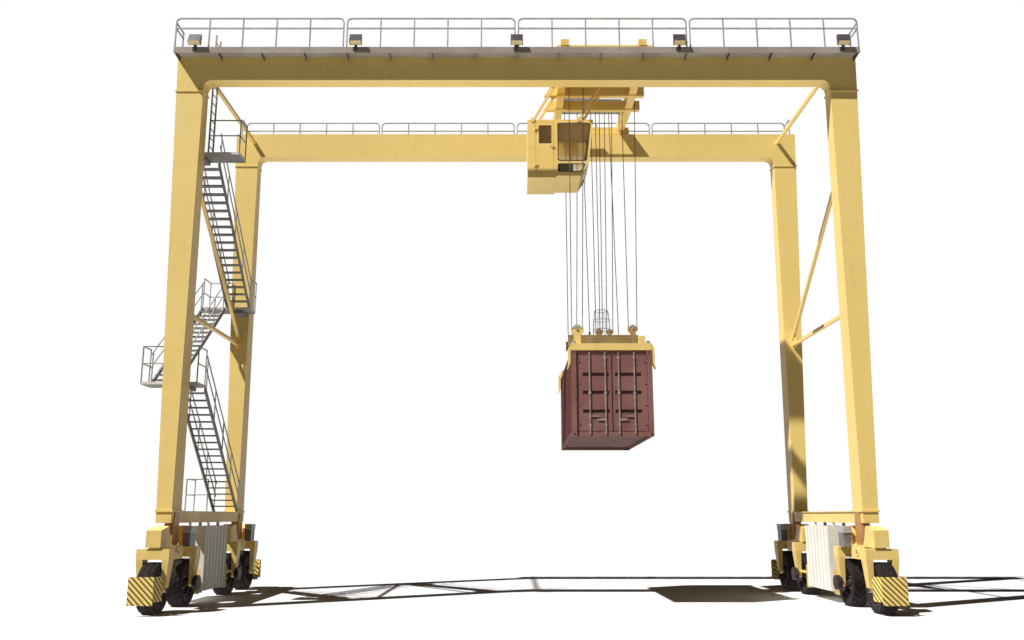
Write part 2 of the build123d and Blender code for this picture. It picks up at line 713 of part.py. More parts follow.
# Ribbed machine houses hung between the wheels of each side
def machine_house(side):
    """Make one ribbed box and the four straps that hang it from the sill."""
    outline = []
    pitch = 2 * HOUSE_HALF_LENGTH / HOUSE_RIBS
    for face, shift in ((HOUSE_INNER, HOUSE_RIB_DEPTH), (HOUSE_OUTER, -HOUSE_RIB_DEPTH)):
        row = []
        for rib in range(HOUSE_RIBS):
            start = -HOUSE_HALF_LENGTH + rib * pitch
            row.append((side * face, start))
            row.append((side * face, start + 0.35 * pitch))
            row.append((side * (face + shift), start + 0.5 * pitch))
            row.append((side * (face + shift), start + 0.85 * pitch))
        row.append((side * face, HOUSE_HALF_LENGTH))
        outline += row if face == HOUSE_INNER else list(reversed(row))
    with BuildPart() as made:
        with BuildSketch(Plane.XY.offset(HOUSE_BOTTOM)):
            with BuildLine():
                Polyline(*outline, close=True)
            make_face()
        extrude(amount=HOUSE_TOP - HOUSE_BOTTOM)
        with BuildSketch(Plane.XY.offset(HOUSE_TOP)):
            with Locations((side * SILL_CENTRE, 0)):
                with GridLocations(SILL_WIDTH - 120, 2 * HOUSE_HALF_LENGTH - 500, 2, 2):
                    Rectangle(60, 120)
        extrude(amount=SILL_BOTTOM - HOUSE_TOP)
        if side < 0:
            add(plate(JUNCTION_X, (-HOUSE_HALF_LENGTH - 90, -HOUSE_HALF_LENGTH + 10), JUNCTION_Z))
    return made


for side, hand in SIDES.items():
    keep(f"machine_house_{side}", machine_house(hand))


# Stairs: three flights between two lanes, with their landings and hand rails
FIRST_BOTTOM_Y = 2250.0
LANDING_FRONT = -HALF_WHEELBASE + leg_half_depth(FIRST_LANDING) + 15
FIRST_TOP_Y = LANDING_FRONT + LANDING_DEPTH
SECOND_FAR = HALF_WHEELBASE - leg_half_depth(SECOND_LANDING) - 15
SECOND_TOP_Y = SECOND_FAR - LANDING_DEPTH
TOP_FRONT = -HALF_WHEELBASE + leg_half_depth(TOP_LANDING) + 15
TOP_BACK = TOP_FRONT + LANDING_DEPTH - 80


def flight(lane, start_y, start_z, end_y, end_z, risers):
    """Make one flight: two stringers, open treads and a two bar rail on each side."""
    left, right = lane - LANE_WIDTH / 2, lane + LANE_WIDTH / 2
    rise = (end_z - start_z) / risers
    going = (end_y - start_y) / risers
    step = 1 if end_y > start_y else -1
    drop = STRINGER_DEPTH
    outline = [(start_y, start_z), (end_y, end_z), (end_y, end_z - drop), (start_y + step * drop, start_z)]
    parts = [side_profile(outline, x, x + STRINGER) for x in (left, right - STRINGER)]
    for number in range(1, risers):
        z = start_z + number * rise
        y = start_y + number * going
        depth = sorted((y - step * TREAD_DEPTH / 3, y + step * TREAD_DEPTH * 2 / 3))
        parts.append(plate((left + STRINGER / 2, right - STRINGER / 2), depth, (z - TREAD_PLATE, z)))
    for x in (left + STRINGER / 2, right - STRINGER / 2):
        for height in (STAIR_RAIL, STAIR_MID_RAIL):
            parts.append(bar((x, start_y, start_z + height), (x, end_y, end_z + height), TUBE * 0.8))
        for share in (0.03, 0.27, 0.51, 0.75, 0.97):
            y = start_y + share * (end_y - start_y)
            z = start_z + share * (end_z - start_z)
            parts.append(bar((x, y, z - 80), (x, y, z + STAIR_RAIL), TUBE * 0.8))
    with BuildPart() as made:
        add(parts)
    return made


keep("stair_lower", flight(INNER_LANE, FIRST_BOTTOM_Y, SILL_TOP, FIRST_TOP_Y, FIRST_LANDING, FIRST_RISERS))
middle_foot = FIRST_TOP_Y - FOOT_OVERLAP
upper_foot = SECOND_TOP_Y + FOOT_OVERLAP
keep(
    "stair_middle",
    flight(OUTER_LANE, middle_foot, FIRST_LANDING, SECOND_TOP_Y, SECOND_LANDING, SECOND_RISERS),
)
keep("stair_upper", flight(INNER_LANE, upper_foot, SECOND_LANDING, TOP_BACK, TOP_LANDING, THIRD_RISERS))

LANE_LEFT = OUTER_LANE - LANE_WIDTH / 2
LANE_RIGHT = INNER_LANE + LANE_WIDTH / 2
TOP_RIGHT = -8800.0


def deck_with_rails(x_range, y_range, top, rails, brackets, leg):
    """Make one landing with rails along the given edges and brackets to its leg."""
    parts = [plate(x_range, y_range, (top - LANDING_PLATE, top))]
    for start, end in rails:
        for height in (LANDING_RAIL, LANDING_MID_RAIL):
            parts.append(bar((*start, top + height), (*end, top + height), TUBE * 0.8))
        for x, y in (start, end):
            parts.append(bar((x, y, top - 20), (x, y, top + LANDING_RAIL + TUBE * 0.4), TUBE * 0.8))
    for x_low, x_high, y_low, y_high in brackets:
        bracket_z = (top - LANDING_PLATE - 120, top - LANDING_PLATE + 20)
        parts.append(plate((x_low, x_high), (y_low, y_high), bracket_z))
    with BuildPart() as made:
        add(parts)
        if leg:
            add(leg.part, mode=Mode.SUBTRACT)
    return made.part


edge = TUBE * 0.4
inner_low = INNER_LANE - 150
first_deck = deck_with_rails(
    (LANE_LEFT, LANE_RIGHT),
    (LANDING_FRONT, FIRST_TOP_Y),
    FIRST_LANDING,
    [
        ((LANE_LEFT + edge, LANDING_FRONT + edge), (LANE_LEFT + edge, middle_foot - 40)),
        ((LANE_RIGHT - edge, LANDING_FRONT + edge), (LANE_RIGHT - edge, FIRST_TOP_Y - 60)),
        ((LANE_LEFT + edge, LANDING_FRONT + edge), (OUTER_LANE + LANE_WIDTH / 2, LANDING_FRONT + edge)),
    ],
    [(inner_low, inner_low + 300, -HALF_WHEELBASE, FIRST_TOP_Y - 60)],
    legs["front", "left"],
)
second_deck = deck_with_rails(
    (LANE_LEFT, LANE_RIGHT),
    (SECOND_TOP_Y, SECOND_FAR),
    SECOND_LANDING,
    [
        ((LANE_LEFT + edge, SECOND_TOP_Y + 60), (LANE_LEFT + edge, SECOND_FAR - edge)),
        ((LANE_RIGHT - edge, upper_foot + 40), (LANE_RIGHT - edge, SECOND_FAR - edge)),
        ((LANE_LEFT + edge, SECOND_FAR - edge), (OUTER_LANE + LANE_WIDTH / 2, SECOND_FAR - edge)),
    ],
    [(inner_low, inner_low + 300, SECOND_TOP_Y + 60, HALF_WHEELBASE)],
    legs["rear", "left"],
)
top_deck = deck_with_rails(
    (INNER_LANE - LANE_WIDTH / 2, TOP_RIGHT),
    (TOP_FRONT, TOP_BACK),
    TOP_LANDING,
    [
        ((-LEG_FOOT_INNER + 60, TOP_FRONT + edge), (TOP_RIGHT - edge, TOP_FRONT + edge)),
        ((TOP_RIGHT - edge, TOP_FRONT + edge), (TOP_RIGHT - edge, TOP_BACK - 60)),
    ],
    [(inner_low, inner_low + 300, -HALF_WHEELBASE, TOP_BACK - 60)],
    legs["front", "left"],
)
sill_edge = -LEG_FOOT_OUTER - FLANGE_OVERHANG
foot_deck = deck_with_rails(
    (LANE_LEFT + 100, sill_edge),
    (1500, 2400),
    SILL_TOP,
    [
        ((LANE_LEFT + 100 + edge, 1500 + edge), (LANE_LEFT + 100 + edge, 2400 - edge)),
        ((LANE_LEFT + 100 + edge, 1500 + edge), (INNER_LANE - LANE_WIDTH / 2 - 30, 1500 + edge)),
    ],
    [],
    None,
)
with BuildPart() as landings:
    add([first_deck, second_deck, top_deck, foot_deck])
keep("landings", landings)

# Ladder from the top landing to the walkway on the front girder
LADDER_X = -LEG_FOOT_INNER + 30
LADDER_FRONT = -GIRDER_BACK + 110
LADDER_WIDTH = 420.0
LADDER_TOP = GIRDER_TOP + 950
LADDER_STILE = 45.0
LADDER_RUNG = 26.0
LADDER_BRACKET = 60.0
with BuildPart() as girder_ladder:
    stiles = [LADDER_FRONT, LADDER_FRONT + LADDER_WIDTH]
    add([bar((LADDER_X, y, TOP_LANDING), (LADDER_X, y, LADDER_TOP), LADDER_STILE) for y in stiles])
    rungs = int((LADDER_TOP - TOP_LANDING - 200) / 300)
    heights = [TOP_LANDING + 250 + 300 * number for number in range(rungs)]
    rung_ends = (stiles[0] + LADDER_STILE / 2 + SEAT_GAP, stiles[1] - LADDER_STILE / 2 - SEAT_GAP)
    add([bar((LADDER_X, rung_ends[0], z), (LADDER_X, rung_ends[1], z), LADDER_RUNG) for z in heights])
    bracket_end = stiles[0] - LADDER_STILE / 2 - SEAT_GAP
    for z in (GIRDER_BOTTOM + 200, GIRDER_TOP - 150):
        add(bar((LADDER_X, -GIRDER_BACK, z), (LADDER_X, bracket_end, z), LADDER_BRACKET))
keep("girder_ladder", girder_ladder)

# Floodlights on the outer edge of the front walkway
with BuildPart() as floodlights:
    lamp_y = -GIRDER_FACE - WALK_WIDTH
    outer_lamps = (LAMP_LEFT_GAP - WALK_HALF_LENGTH, WALK_HALF_LENGTH - LAMP_RIGHT_GAP)
    for x in (outer_lamps[0], *INNER_LAMPS, outer_lamps[1]):
        lamp = side_profile(
            [
                (lamp_y - 60, DECK_TOP + 60),
                (lamp_y - 230, DECK_TOP + 130),
                (lamp_y - 110, DECK_TOP + 410),
                (lamp_y - 40, DECK_TOP + 380),
            ],
            x - LAMP_HALF_WIDTH,
            x + LAMP_HALF_WIDTH,
        )
        add(lamp)
        add(plate((x - 40, x + 40), (lamp_y - 75, lamp_y), (DECK_TOP - 100, DECK_TOP + 200)))
keep("floodlights", floodlights)


# Trolley: two long beams across the girders, three cross beams and a rope anchor beam
with BuildPart() as trolley_frame:
    half_outline = [
        (700, MAIN_BEAM_MID_BOTTOM),
        (GIRDER_BACK, CARRIAGE_TOP - 200),
        (GIRDER_BACK + 110, CARRIAGE_TOP),
        (HALF_WHEELBASE + 120, CARRIAGE_TOP),
        (HALF_WHEELBASE + 120, MAIN_BEAM_TOP),
    ]
    beam_outline = half_outline + [(-y, z) for y, z in reversed(half_outline)]
    for spread in (-MAIN_BEAM_SPREAD, MAIN_BEAM_SPREAD):
        x = TROLLEY_CENTRE + spread
        add(side_profile(beam_outline, x - MAIN_BEAM_WIDTH / 2, x + MAIN_BEAM_WIDTH / 2))
    cross_outline = [
        (TROLLEY_CENTRE + CROSS_BEAM_LEFT, CROSS_BEAM_BOTTOM),
        (TROLLEY_CENTRE + CROSS_BEAM_LEFT + 220, CROSS_BEAM_TOP),
        (TROLLEY_CENTRE + CROSS_BEAM_RIGHT, CROSS_BEAM_TOP),
        (TROLLEY_CENTRE + CROSS_BEAM_RIGHT, CROSS_BEAM_BOTTOM),
    ]
    gusset_left = TROLLEY_CENTRE - MAIN_BEAM_SPREAD - MAIN_BEAM_WIDTH / 2 - 60
    for y in CROSS_BEAM_ROWS:
        add(front_profile(cross_outline, y - CROSS_BEAM_WIDTH / 2, y + CROSS_BEAM_WIDTH / 2))
        gusset = [
            (gusset_left, CROSS_BEAM_BOTTOM + 15),
            (gusset_left + 190, CROSS_BEAM_TOP - 15),
            (gusset_left + 380, CROSS_BEAM_BOTTOM + 15),
        ]
        add(front_profile(gusset, y - CROSS_BEAM_WIDTH / 2 - 40, y - CROSS_BEAM_WIDTH / 2 + 5))
    inner_left = TROLLEY_CENTRE - MAIN_BEAM_SPREAD
    inner_right = TROLLEY_CENTRE + MAIN_BEAM_SPREAD
    anchor_y = (FRONT_ROPE_LINE - 80, FRONT_ROPE_LINE + 80)
    add(plate((inner_left, inner_right), anchor_y, (ROPE_TOP + SEAT_GAP, ROPE_TOP + 150)))
    outer_face = inner_right + MAIN_BEAM_WIDTH / 2
    add(plate((outer_face - 20, outer_face + 130), (240, 360), (ROPE_TOP + SEAT_GAP, ROPE_TOP + 120)))
keep("trolley_frame", trolley_frame)

# End carriages with their small wheels on the rails
rail_head = GIRDER_TOP + RAIL_HEIGHT
with BuildPart() as end_carriages:
    for sign in ENDS.values():
        y = sign * HALF_WHEELBASE
        x_ends = (inner_left - 250, inner_right + 350)
        add(plate(x_ends, (y - 100, y + 100), (rail_head + 20, CARRIAGE_TOP - SEAT_GAP)))
        for x in (inner_left, inner_right + 100):
            pocket = plate((x - 125, x + 125), (y - 55, y + 55), (rail_head, rail_head + 240))
            add(pocket, mode=Mode.SUBTRACT)
            wheel_height = rail_head + SEAT_GAP + TRAVEL_WHEEL_RADIUS
            add(disc((x, y - 45, wheel_height), (0, 1, 0), TRAVEL_WHEEL_RADIUS, 90))
            add(disc((x, y - 60, wheel_height), (0, 1, 0), 30, 120))
keep("end_carriages", end_carriages)

# Hoist drum, its motor and gearbox between the long beams
with BuildPart() as hoist_machinery:
    drum_left = inner_left + MAIN_BEAM_WIDTH / 2 + SEAT_GAP
    drum_right = inner_right - MAIN_BEAM_WIDTH / 2 - SEAT_GAP
    add(disc((drum_left, DRUM_LINE, ROPE_TOP), (1, 0, 0), DRUM_RADIUS - 60, drum_right - drum_left))
    add(disc((drum_left + 40, DRUM_LINE, ROPE_TOP), (1, 0, 0), DRUM_RADIUS, drum_right - drum_left - 80))
    base = (MAIN_BEAM_TOP + SEAT_GAP, MAIN_BEAM_TOP + 60)
    add(plate((inner_left - 100, inner_right + 100), (1650, 2350), base))
    add(plate((inner_left + 200, inner_left + 800), (1750, 2250), (MAIN_BEAM_TOP + 40, MAIN_BEAM_TOP + 520)))
    add(disc((inner_left + 700, 2000, MAIN_BEAM_TOP + 300), (1, 0, 0), 190, 900))
keep("hoist_machinery", hoist_machinery)


# Operator's cab: a hollow shell with cut windows and a door
def nose_at(z):
    """X of the sloping nose of the cab at one height."""
    if z >= CAB_SILL_HEIGHT:
        share = (z - CAB_SILL_HEIGHT) / (CAB_ROOF - CAB_SILL_HEIGHT)
        return CAB_NOSE_MID + (CAB_NOSE_TOP - CAB_NOSE_MID) * share
    share = (z - CAB_LEDGE) / (CAB_SILL_HEIGHT - CAB_LEDGE)
    return CAB_NOSE_FOOT + (CAB_NOSE_MID - CAB_NOSE_FOOT) * share


UPPER_WINDOW = (CAB_STEP + 60, 14150.0, 15470.0)
LOWER_WINDOW = (CAB_STEP + 60, 13760.0, 14030.0)


def side_window(window, gap):
    """Corner points of a side window, drawn in by a small gap for its glass."""
    left, bottom, top = window
    return [
        (left + gap, bottom + gap),
        (nose_at(bottom) - 90 - gap, bottom + gap),
        (nose_at(top) - 90 - gap, top - gap),
        (left + gap, top - gap),
    ]


near_wall = (CAB_NEAR, CAB_NEAR + CAB_WALL)
far_wall = (CAB_FAR - CAB_WALL, CAB_FAR)
screen_y = (CAB_NEAR + 80, CAB_FAR - 80)
door_right = CAB_DOOR_LEFT + CAB_DOOR_WIDTH
door_top = CAB_DOOR_BOTTOM + CAB_DOOR_HEIGHT
with BuildPart() as cab_shell:
    add(
        front_profile(
            [
                (CAB_BACK, CAB_FLOOR),
                (CAB_BACK, CAB_ROOF),
                (CAB_NOSE_TOP, CAB_ROOF),
                (CAB_NOSE_MID, CAB_SILL_HEIGHT),
                (CAB_NOSE_FOOT, CAB_LEDGE),
                (CAB_STEP, CAB_LEDGE),
                (CAB_STEP, CAB_FLOOR),
            ],
            CAB_NEAR,
            CAB_FAR,
        )
    )
    room = [
        (CAB_BACK + CAB_WALL, CAB_LEDGE + CAB_WALL),
        (CAB_BACK + CAB_WALL, CAB_ROOF - CAB_WALL),
        (nose_at(CAB_ROOF - CAB_WALL) - CAB_WALL, CAB_ROOF - CAB_WALL),
        (CAB_NOSE_MID - CAB_WALL, CAB_SILL_HEIGHT + 20),
        (nose_at(CAB_LEDGE + CAB_WALL) - CAB_WALL, CAB_LEDGE + CAB_WALL),
    ]
    add(front_profile(room, CAB_NEAR + CAB_WALL, CAB_FAR - CAB_WALL), mode=Mode.SUBTRACT)
    for window in (UPPER_WINDOW, LOWER_WINDOW):
        for wall in (near_wall, far_wall):
            add(front_profile(side_window(window, 0), *wall), mode=Mode.SUBTRACT)
        screen = plate((nose_at(window[1]) - 100, CAB_NOSE_TOP + 50), screen_y, window[1:])
        add(screen, mode=Mode.SUBTRACT)
    opening = plate((CAB_DOOR_LEFT, door_right), near_wall, (CAB_DOOR_BOTTOM, door_top))
    add(opening, mode=Mode.SUBTRACT)
    for height in HINGE_HEIGHTS:
        lug_x = (CAB_DOOR_LEFT - 60, CAB_DOOR_LEFT - 4)
        lug = plate(lug_x, (HINGE_LINE, CAB_NEAR + 10), (height - 60, height - 20))
        add(lug)
        add(disc((CAB_DOOR_LEFT - 20, HINGE_LINE, height - 60), (0, 0, 1), 18, 40))
        add(disc((CAB_DOOR_LEFT - 20, HINGE_LINE, height - 60), (0, 0, 1), HINGE_PIN_RADIUS, 120))
    for x in (CAB_STRUT_BACK, CAB_STRUT_FRONT):
        lug = [
            (x - 65, CAB_ROOF - 60),
            (x - 65, CAB_ROOF + 60),
            (x + 55, CAB_ROOF + 60),
            (x + 65, CAB_ROOF - 10),
            (x + 20, CAB_ROOF - 90),
        ]
        add(front_profile(lug, CAB_NEAR - 25, CAB_NEAR + 5))
keep("cab_shell", cab_shell)

# Cab door: a leaf with a window, hung on two pins at its left edge
leaf_left = CAB_DOOR_LEFT + MOVE_GAP
leaf_right = door_right - MOVE_GAP
leaf_z = (CAB_DOOR_BOTTOM + MOVE_GAP, door_top - MOVE_GAP)
pane_x = (CAB_DOOR_LEFT + 110, door_right - 70)
pane_z = (14750.0, 15400.0)
with BuildPart() as cab_door:
    add(plate((leaf_left, leaf_right), (CAB_NEAR, CAB_NEAR + CAB_DOOR_THICKNESS), leaf_z))
    add(plate(pane_x, near_wall, pane_z), mode=Mode.SUBTRACT)
    for height in HINGE_HEIGHTS:
        knuckle = (height - 15, height + 55)
        add(plate((CAB_DOOR_LEFT - 20, leaf_left + 60), (HINGE_LINE - 6, HINGE_LINE + 6), knuckle))
        add(plate((leaf_left + 40, leaf_left + 60), (HINGE_LINE - 6, CAB_NEAR + 10), knuckle))
        add(disc((CAB_DOOR_LEFT - 20, HINGE_LINE, knuckle[0]), (0, 0, 1), 18, 70))
        bore = disc(
            (CAB_DOOR_LEFT - 20, HINGE_LINE, height - 100), (0, 0, 1), HINGE_PIN_RADIUS + PIN_CLEARANCE, 250
        )
        add(bore, mode=Mode.SUBTRACT)
    handle_z = 14690.0
    grip_z = (handle_z - 12, handle_z + 12)
    for inset in (130, 30):
        add(plate((leaf_right - inset, leaf_right - inset + 20), (CAB_NEAR - 60, CAB_NEAR + 5), grip_z))
    add(plate((leaf_right - 130, leaf_right - 10), (CAB_NEAR - 60, CAB_NEAR - 40), grip_z))
keep("cab_door", cab_door)

with BuildPart() as door_glass:
    middle = CAB_NEAR + CAB_DOOR_THICKNESS / 2
    pane = [(pane_x[0] + SEAT_GAP, pane_x[1] - SEAT_GAP), (pane_z[0] + SEAT_GAP, pane_z[1] - SEAT_GAP)]
    add(plate(pane[0], (middle - GLASS / 2, middle + GLASS / 2), pane[1]))
keep("door_glass", door_glass)

with BuildPart() as cab_glass:
    for window in (UPPER_WINDOW, LOWER_WINDOW):
        for wall in (near_wall, far_wall):
            middle = (wall[0] + wall[1]) / 2
            add(front_profile(side_window(window, SEAT_GAP), middle - GLASS / 2, middle + GLASS / 2))
        low, high = window[1] + SEAT_GAP, window[2] - SEAT_GAP
        screen = [
            (nose_at(low) - 20 - GLASS, low),
            (nose_at(low) - 20, low),
            (nose_at(high) - 20, high),
            (nose_at(high) - 20 - GLASS, high),
        ]
        add(front_profile(screen, screen_y[0] + SEAT_GAP, screen_y[1] - SEAT_GAP))
keep("cab_glass", cab_glass)

# Four leaning struts that hang the cab from the first two cross beams
with BuildPart() as cab_struts:
    for y in CROSS_BEAM_ROWS[:2]:
        for x in (CAB_STRUT_BACK, CAB_STRUT_FRONT):
            low, high = CAB_ROOF + SEAT_GAP, CROSS_BEAM_BOTTOM - SEAT_GAP
            head = x + (high - low) * CAB_STRUT_LEAN
            half = CAB_STRUT_SIZE / 2
            strut = [(x - half, low), (x + half, low), (head + half, high), (head - half, high)]
            add(front_profile(strut, y - half, y + half))
            add(plate((x - 80, x + 90), (y - 80, y + 80), (low, low + 25)))
            add(plate((head - 80, head + 90), (y - 80, y + 80), (high - 25, high)))
keep("cab_struts", cab_struts)

# Driver's seat between two control boxes
cab_deck = CAB_LEDGE + CAB_WALL + SEAT_GAP
seat_y = (CAB_NEAR + CAB_FAR) / 2
with BuildPart() as driver_seat:
    add(plate((1480, 1700), (seat_y - 110, seat_y + 110), (cab_deck, cab_deck + 330)))
    add(plate((1330, 1850), (seat_y - 250, seat_y + 250), (cab_deck + 320, cab_deck + 430)))
    back = [(1330, cab_deck + 420), (1440, cab_deck + 420), (1360, cab_deck + 1150), (1270, cab_deck + 1150)]
    add(front_profile(back, seat_y - 230, seat_y + 230))
    for y in (seat_y - 420, seat_y + 420):
        add(plate((1400, 1900), (y - 110, y + 110), (cab_deck, cab_deck + 560)))
        add(plate((1800, 1830), (y - 15, y + 15), (cab_deck + 540, cab_deck + 700)))
        add(disc((1815, y, cab_deck + 690), (0, 0, 1), 28, 45))
keep("driver_seat", driver_seat)


# Spreader: end beams and rails on the container, head frame above, guides at the corners
head_left = LOAD_CENTRE - SPREADER_RAIL_SPREAD
head_right = LOAD_CENTRE + SPREADER_RAIL_SPREAD
spreader_bottom = CONTAINER_TOP + SEAT_GAP
spreader_top = spreader_bottom + END_BEAM_HEIGHT
rail_half = SPREADER_RAIL_WIDTH / 2


def lifting_block(x, y, axis_height, radius, base):
    """Make the two cheek plates that stand on a beam and hold one rope sheave."""
    cheek = [
        (x - 0.6 * radius, base),
        (x - 0.6 * radius, axis_height - radius),
        (x - 1.15 * radius, axis_height - 0.45 * radius),
        (x - 1.15 * radius, axis_height + 0.25 * radius),
        (x - 0.35 * radius, axis_height + 0.6 * radius),
        (x + 0.35 * radius, axis_height + 0.6 * radius),
        (x + 1.15 * radius, axis_height + 0.25 * radius),
        (x + 1.15 * radius, axis_height - 0.45 * radius),
        (x + 0.6 * radius, axis_height - radius),
        (x + 0.6 * radius, base),
    ]
    return [front_profile(cheek, y + shift, y + shift + 22) for shift in (-60, 38)]


with BuildPart() as spreader_frame:
    for sign in ENDS.values():
        end_y = sorted((sign * CONTAINER_END, sign * (CONTAINER_END - END_BEAM_DEPTH)))
        add(
            plate(
                (LOAD_CENTRE - CONTAINER_SIDE + 10, LOAD_CENTRE + CONTAINER_SIDE - 10),
                end_y,
                (spreader_bottom, spreader_top),
            )
        )
    for x in (head_left, head_right):
        rail_x = (x - rail_half, x + rail_half)
        rail_y = CONTAINER_END - 30
        add(plate(rail_x, (-rail_y, rail_y), (spreader_bottom + 20, spreader_top - 20)))
        add(plate(rail_x, (-HEAD_ROW, HEAD_ROW), (HEAD_FRAME_BOTTOM, HEAD_FRAME_TOP - 5)))
        for y in (-HEAD_ROW, HEAD_ROW):
            post_z = (spreader_top - 30, HEAD_FRAME_BOTTOM + 10)
            add(plate(rail_x, (y - 100, y + 100), post_z))
    for y in (-HEAD_ROW, HEAD_ROW):
        add(plate((1700, 4000), (y - 100, y + 100), (HEAD_FRAME_BOTTOM, HEAD_FRAME_TOP)))
    add(plate((1700, head_left), (-60, 60), (HEAD_FRAME_BOTTOM + 60, HEAD_FRAME_TOP - 120)))
    add(plate((head_left, head_right), (-HEAD_ROW, -HEAD_ROW + 260), (HEAD_FRAME_TOP - 170, HEAD_FRAME_TOP)))
    add(plate((head_left + 40, head_right - 40), (0, 640), (HEAD_FRAME_TOP - 30, HEAD_FRAME_TOP + 20)))
    for block in SHEAVES:
        add(lifting_block(*block))
    block_y = (FRONT_ROPE_LINE - 80, FRONT_ROPE_LINE + 65)
    add(plate((1740, 1950), block_y, (spreader_top - 40, spreader_top + 90)))
    for x, y in ROPE_SOCKETS:
        add(plate((x - 30, x + 30), (y - 30, y + 30), (HEAD_FRAME_TOP - 60, ROPE_BOTTOM - SEAT_GAP)))
    horn_y = (-CONTAINER_END + 10, -CONTAINER_END + 180)
    add(plate((3700, 3890), horn_y, (spreader_top - 10, spreader_top + 230)))
    for side, end in ((1, -1), (1, 1), (-1, -1), (-1, 1)):
        face = side * (CONTAINER_SIDE + 15)
        guide = [
            (LOAD_CENTRE + side * (CONTAINER_SIDE - 60), spreader_top - 30),
            (LOAD_CENTRE + face, spreader_top - 30),
            (LOAD_CENTRE + face + side * 70, spreader_top - 150),
            (LOAD_CENTRE + face + side * 70, spreader_bottom - 420),
            (LOAD_CENTRE + face + side * 105, spreader_bottom - 560),
            (LOAD_CENTRE + face + side * 75, spreader_bottom - 560),
            (LOAD_CENTRE + face, spreader_bottom - 380),
            (LOAD_CENTRE + face, spreader_bottom + 10),
            (LOAD_CENTRE + side * (CONTAINER_SIDE - 60), spreader_bottom + 10),
        ]
        guide_y = sorted((end * (CONTAINER_END - 10), end * (CONTAINER_END - 210)))
        add(front_profile(guide, *guide_y))
keep("spreader_frame", spreader_frame)

# Sheaves on their pins, with the lengths of rope that lie low on the front block
with BuildPart() as sheaves:
    for x, y, height, radius, base in SHEAVES:
        add(disc((x, y - 34, height), (0, 1, 0), radius - ROPE / 2 - 2, 68))
        add(disc((x, y - 38 + SEAT_GAP, height), (0, 1, 0), 32, 76 - 2 * SEAT_GAP))
        if height < ROPE_BOTTOM - 100:
            for side in (-1, 1):
                start = (x + side * (radius - 4), y, height)
                add(bar(start, (x + side * (radius - 4), y, ROPE_BOTTOM - SEAT_GAP), ROPE))
keep("sheaves", sheaves)

# Round wire cage that gathers the loose power cable on the head frame
cage_x, cage_y = 2900.0, 320.0
with BuildPart() as cable_cage:
    cage_foot = HEAD_FRAME_TOP + 20 + SEAT_GAP
    rings = ((cage_foot, 300), (cage_foot + 350, 300), (cage_foot + 680, 285), (cage_foot + 1010, 235))
    corners = [math.radians(22.5 + 45 * number) for number in range(8)]
    for level, (height, radius) in enumerate(rings):
        ring = [(cage_x + radius * math.cos(a), cage_y + radius * math.sin(a), height) for a in corners]
        for number in range(8):
            if level > 0:
                add(bar(ring[number], ring[(number + 1) % 8], CAGE_WIRE))
            if level < len(rings) - 1:
                upper, wide = rings[level + 1]
                angle = corners[number]
                above = (cage_x + wide * math.cos(angle), cage_y + wide * math.sin(angle), upper)
                add(bar(ring[number], above, CAGE_WIRE))
keep("cable_cage", cable_cage)

# Hoist ropes between the trolley and the spreader
with BuildPart() as hoist_ropes:
    for top_x, top_y, low_x, low_y in ROPES:
        run = Vector(top_x - low_x, top_y - low_y, ROPE_TOP - ROPE_BOTTOM)
        with BuildSketch(Plane.XY.offset(ROPE_BOTTOM)):
            with Locations((low_x, low_y)):
                Rectangle(ROPE, ROPE)
        extrude(amount=run.length, dir=run)
keep("hoist_ropes", hoist_ropes)


# Twenty foot container: ribbed side walls inside a frame of posts and rails
with BuildPart() as container:
    wall = CONTAINER_SIDE - 12
    start = -CONTAINER_END + CORNER_POST - 10
    pitch = 2 * -start / CONTAINER_RIBS
    right_side = []
    for rib in range(CONTAINER_RIBS):
        y = start + rib * pitch
        right_side.append((wall, y))
        right_side.append((wall, y + 0.28 * pitch))
        right_side.append((wall - RIB_DEPTH, y + 0.5 * pitch))
        right_side.append((wall - RIB_DEPTH, y + 0.78 * pitch))
    right_side.append((wall, -start))
    left_side = [(-x, y) for x, y in reversed(right_side)]
    outline = [(LOAD_CENTRE + x, y) for x, y in right_side + left_side]
    with BuildSketch(Plane.XY.offset(CONTAINER_BOTTOM + 100)):
        with BuildLine():
            Polyline(*outline, close=True)
        make_face()
    extrude(amount=CONTAINER_HEIGHT - 120)
    hold_half = wall - RIB_DEPTH - 20
    add(
        plate(
            (LOAD_CENTRE - hold_half, LOAD_CENTRE + hold_half),
            (-CONTAINER_END, CONTAINER_END - CORNER_POST),
            (CONTAINER_BOTTOM + 150, CONTAINER_TOP - 120),
        ),
        mode=Mode.SUBTRACT,
    )
    for side in (-1, 1):
        face = LOAD_CENTRE + side * CONTAINER_SIDE
        x_rail = sorted((face, face - side * 60))
        x_post = sorted((face, face - side * CORNER_POST))
        side_beams = (
            (CONTAINER_BOTTOM + 15, CONTAINER_BOTTOM + 160),
            (CONTAINER_TOP - 66, CONTAINER_TOP - 6),
        )
        for low, high in side_beams:
            add(plate(x_rail, (-CONTAINER_END + 40, CONTAINER_END - 40), (low, high)))
        for end in (-1, 1):
            y_post = sorted((end * CONTAINER_END, end * (CONTAINER_END - CORNER_POST)))
            add(plate(x_post, y_post, (CONTAINER_BOTTOM, CONTAINER_TOP)))
    across = (LOAD_CENTRE - CONTAINER_SIDE + 20, LOAD_CENTRE + CONTAINER_SIDE - 20)
    for end, inset in ((-1, DOOR_RECESS), (1, 0)):
        y_beam = sorted((end * (CONTAINER_END - inset), end * (CONTAINER_END - CORNER_POST)))
        add(plate(across, y_beam, (CONTAINER_BOTTOM + 5, CONTAINER_BOTTOM + 150)))
        add(plate(across, y_beam, (CONTAINER_TOP - 120, CONTAINER_TOP - 5)))
keep("container", container)

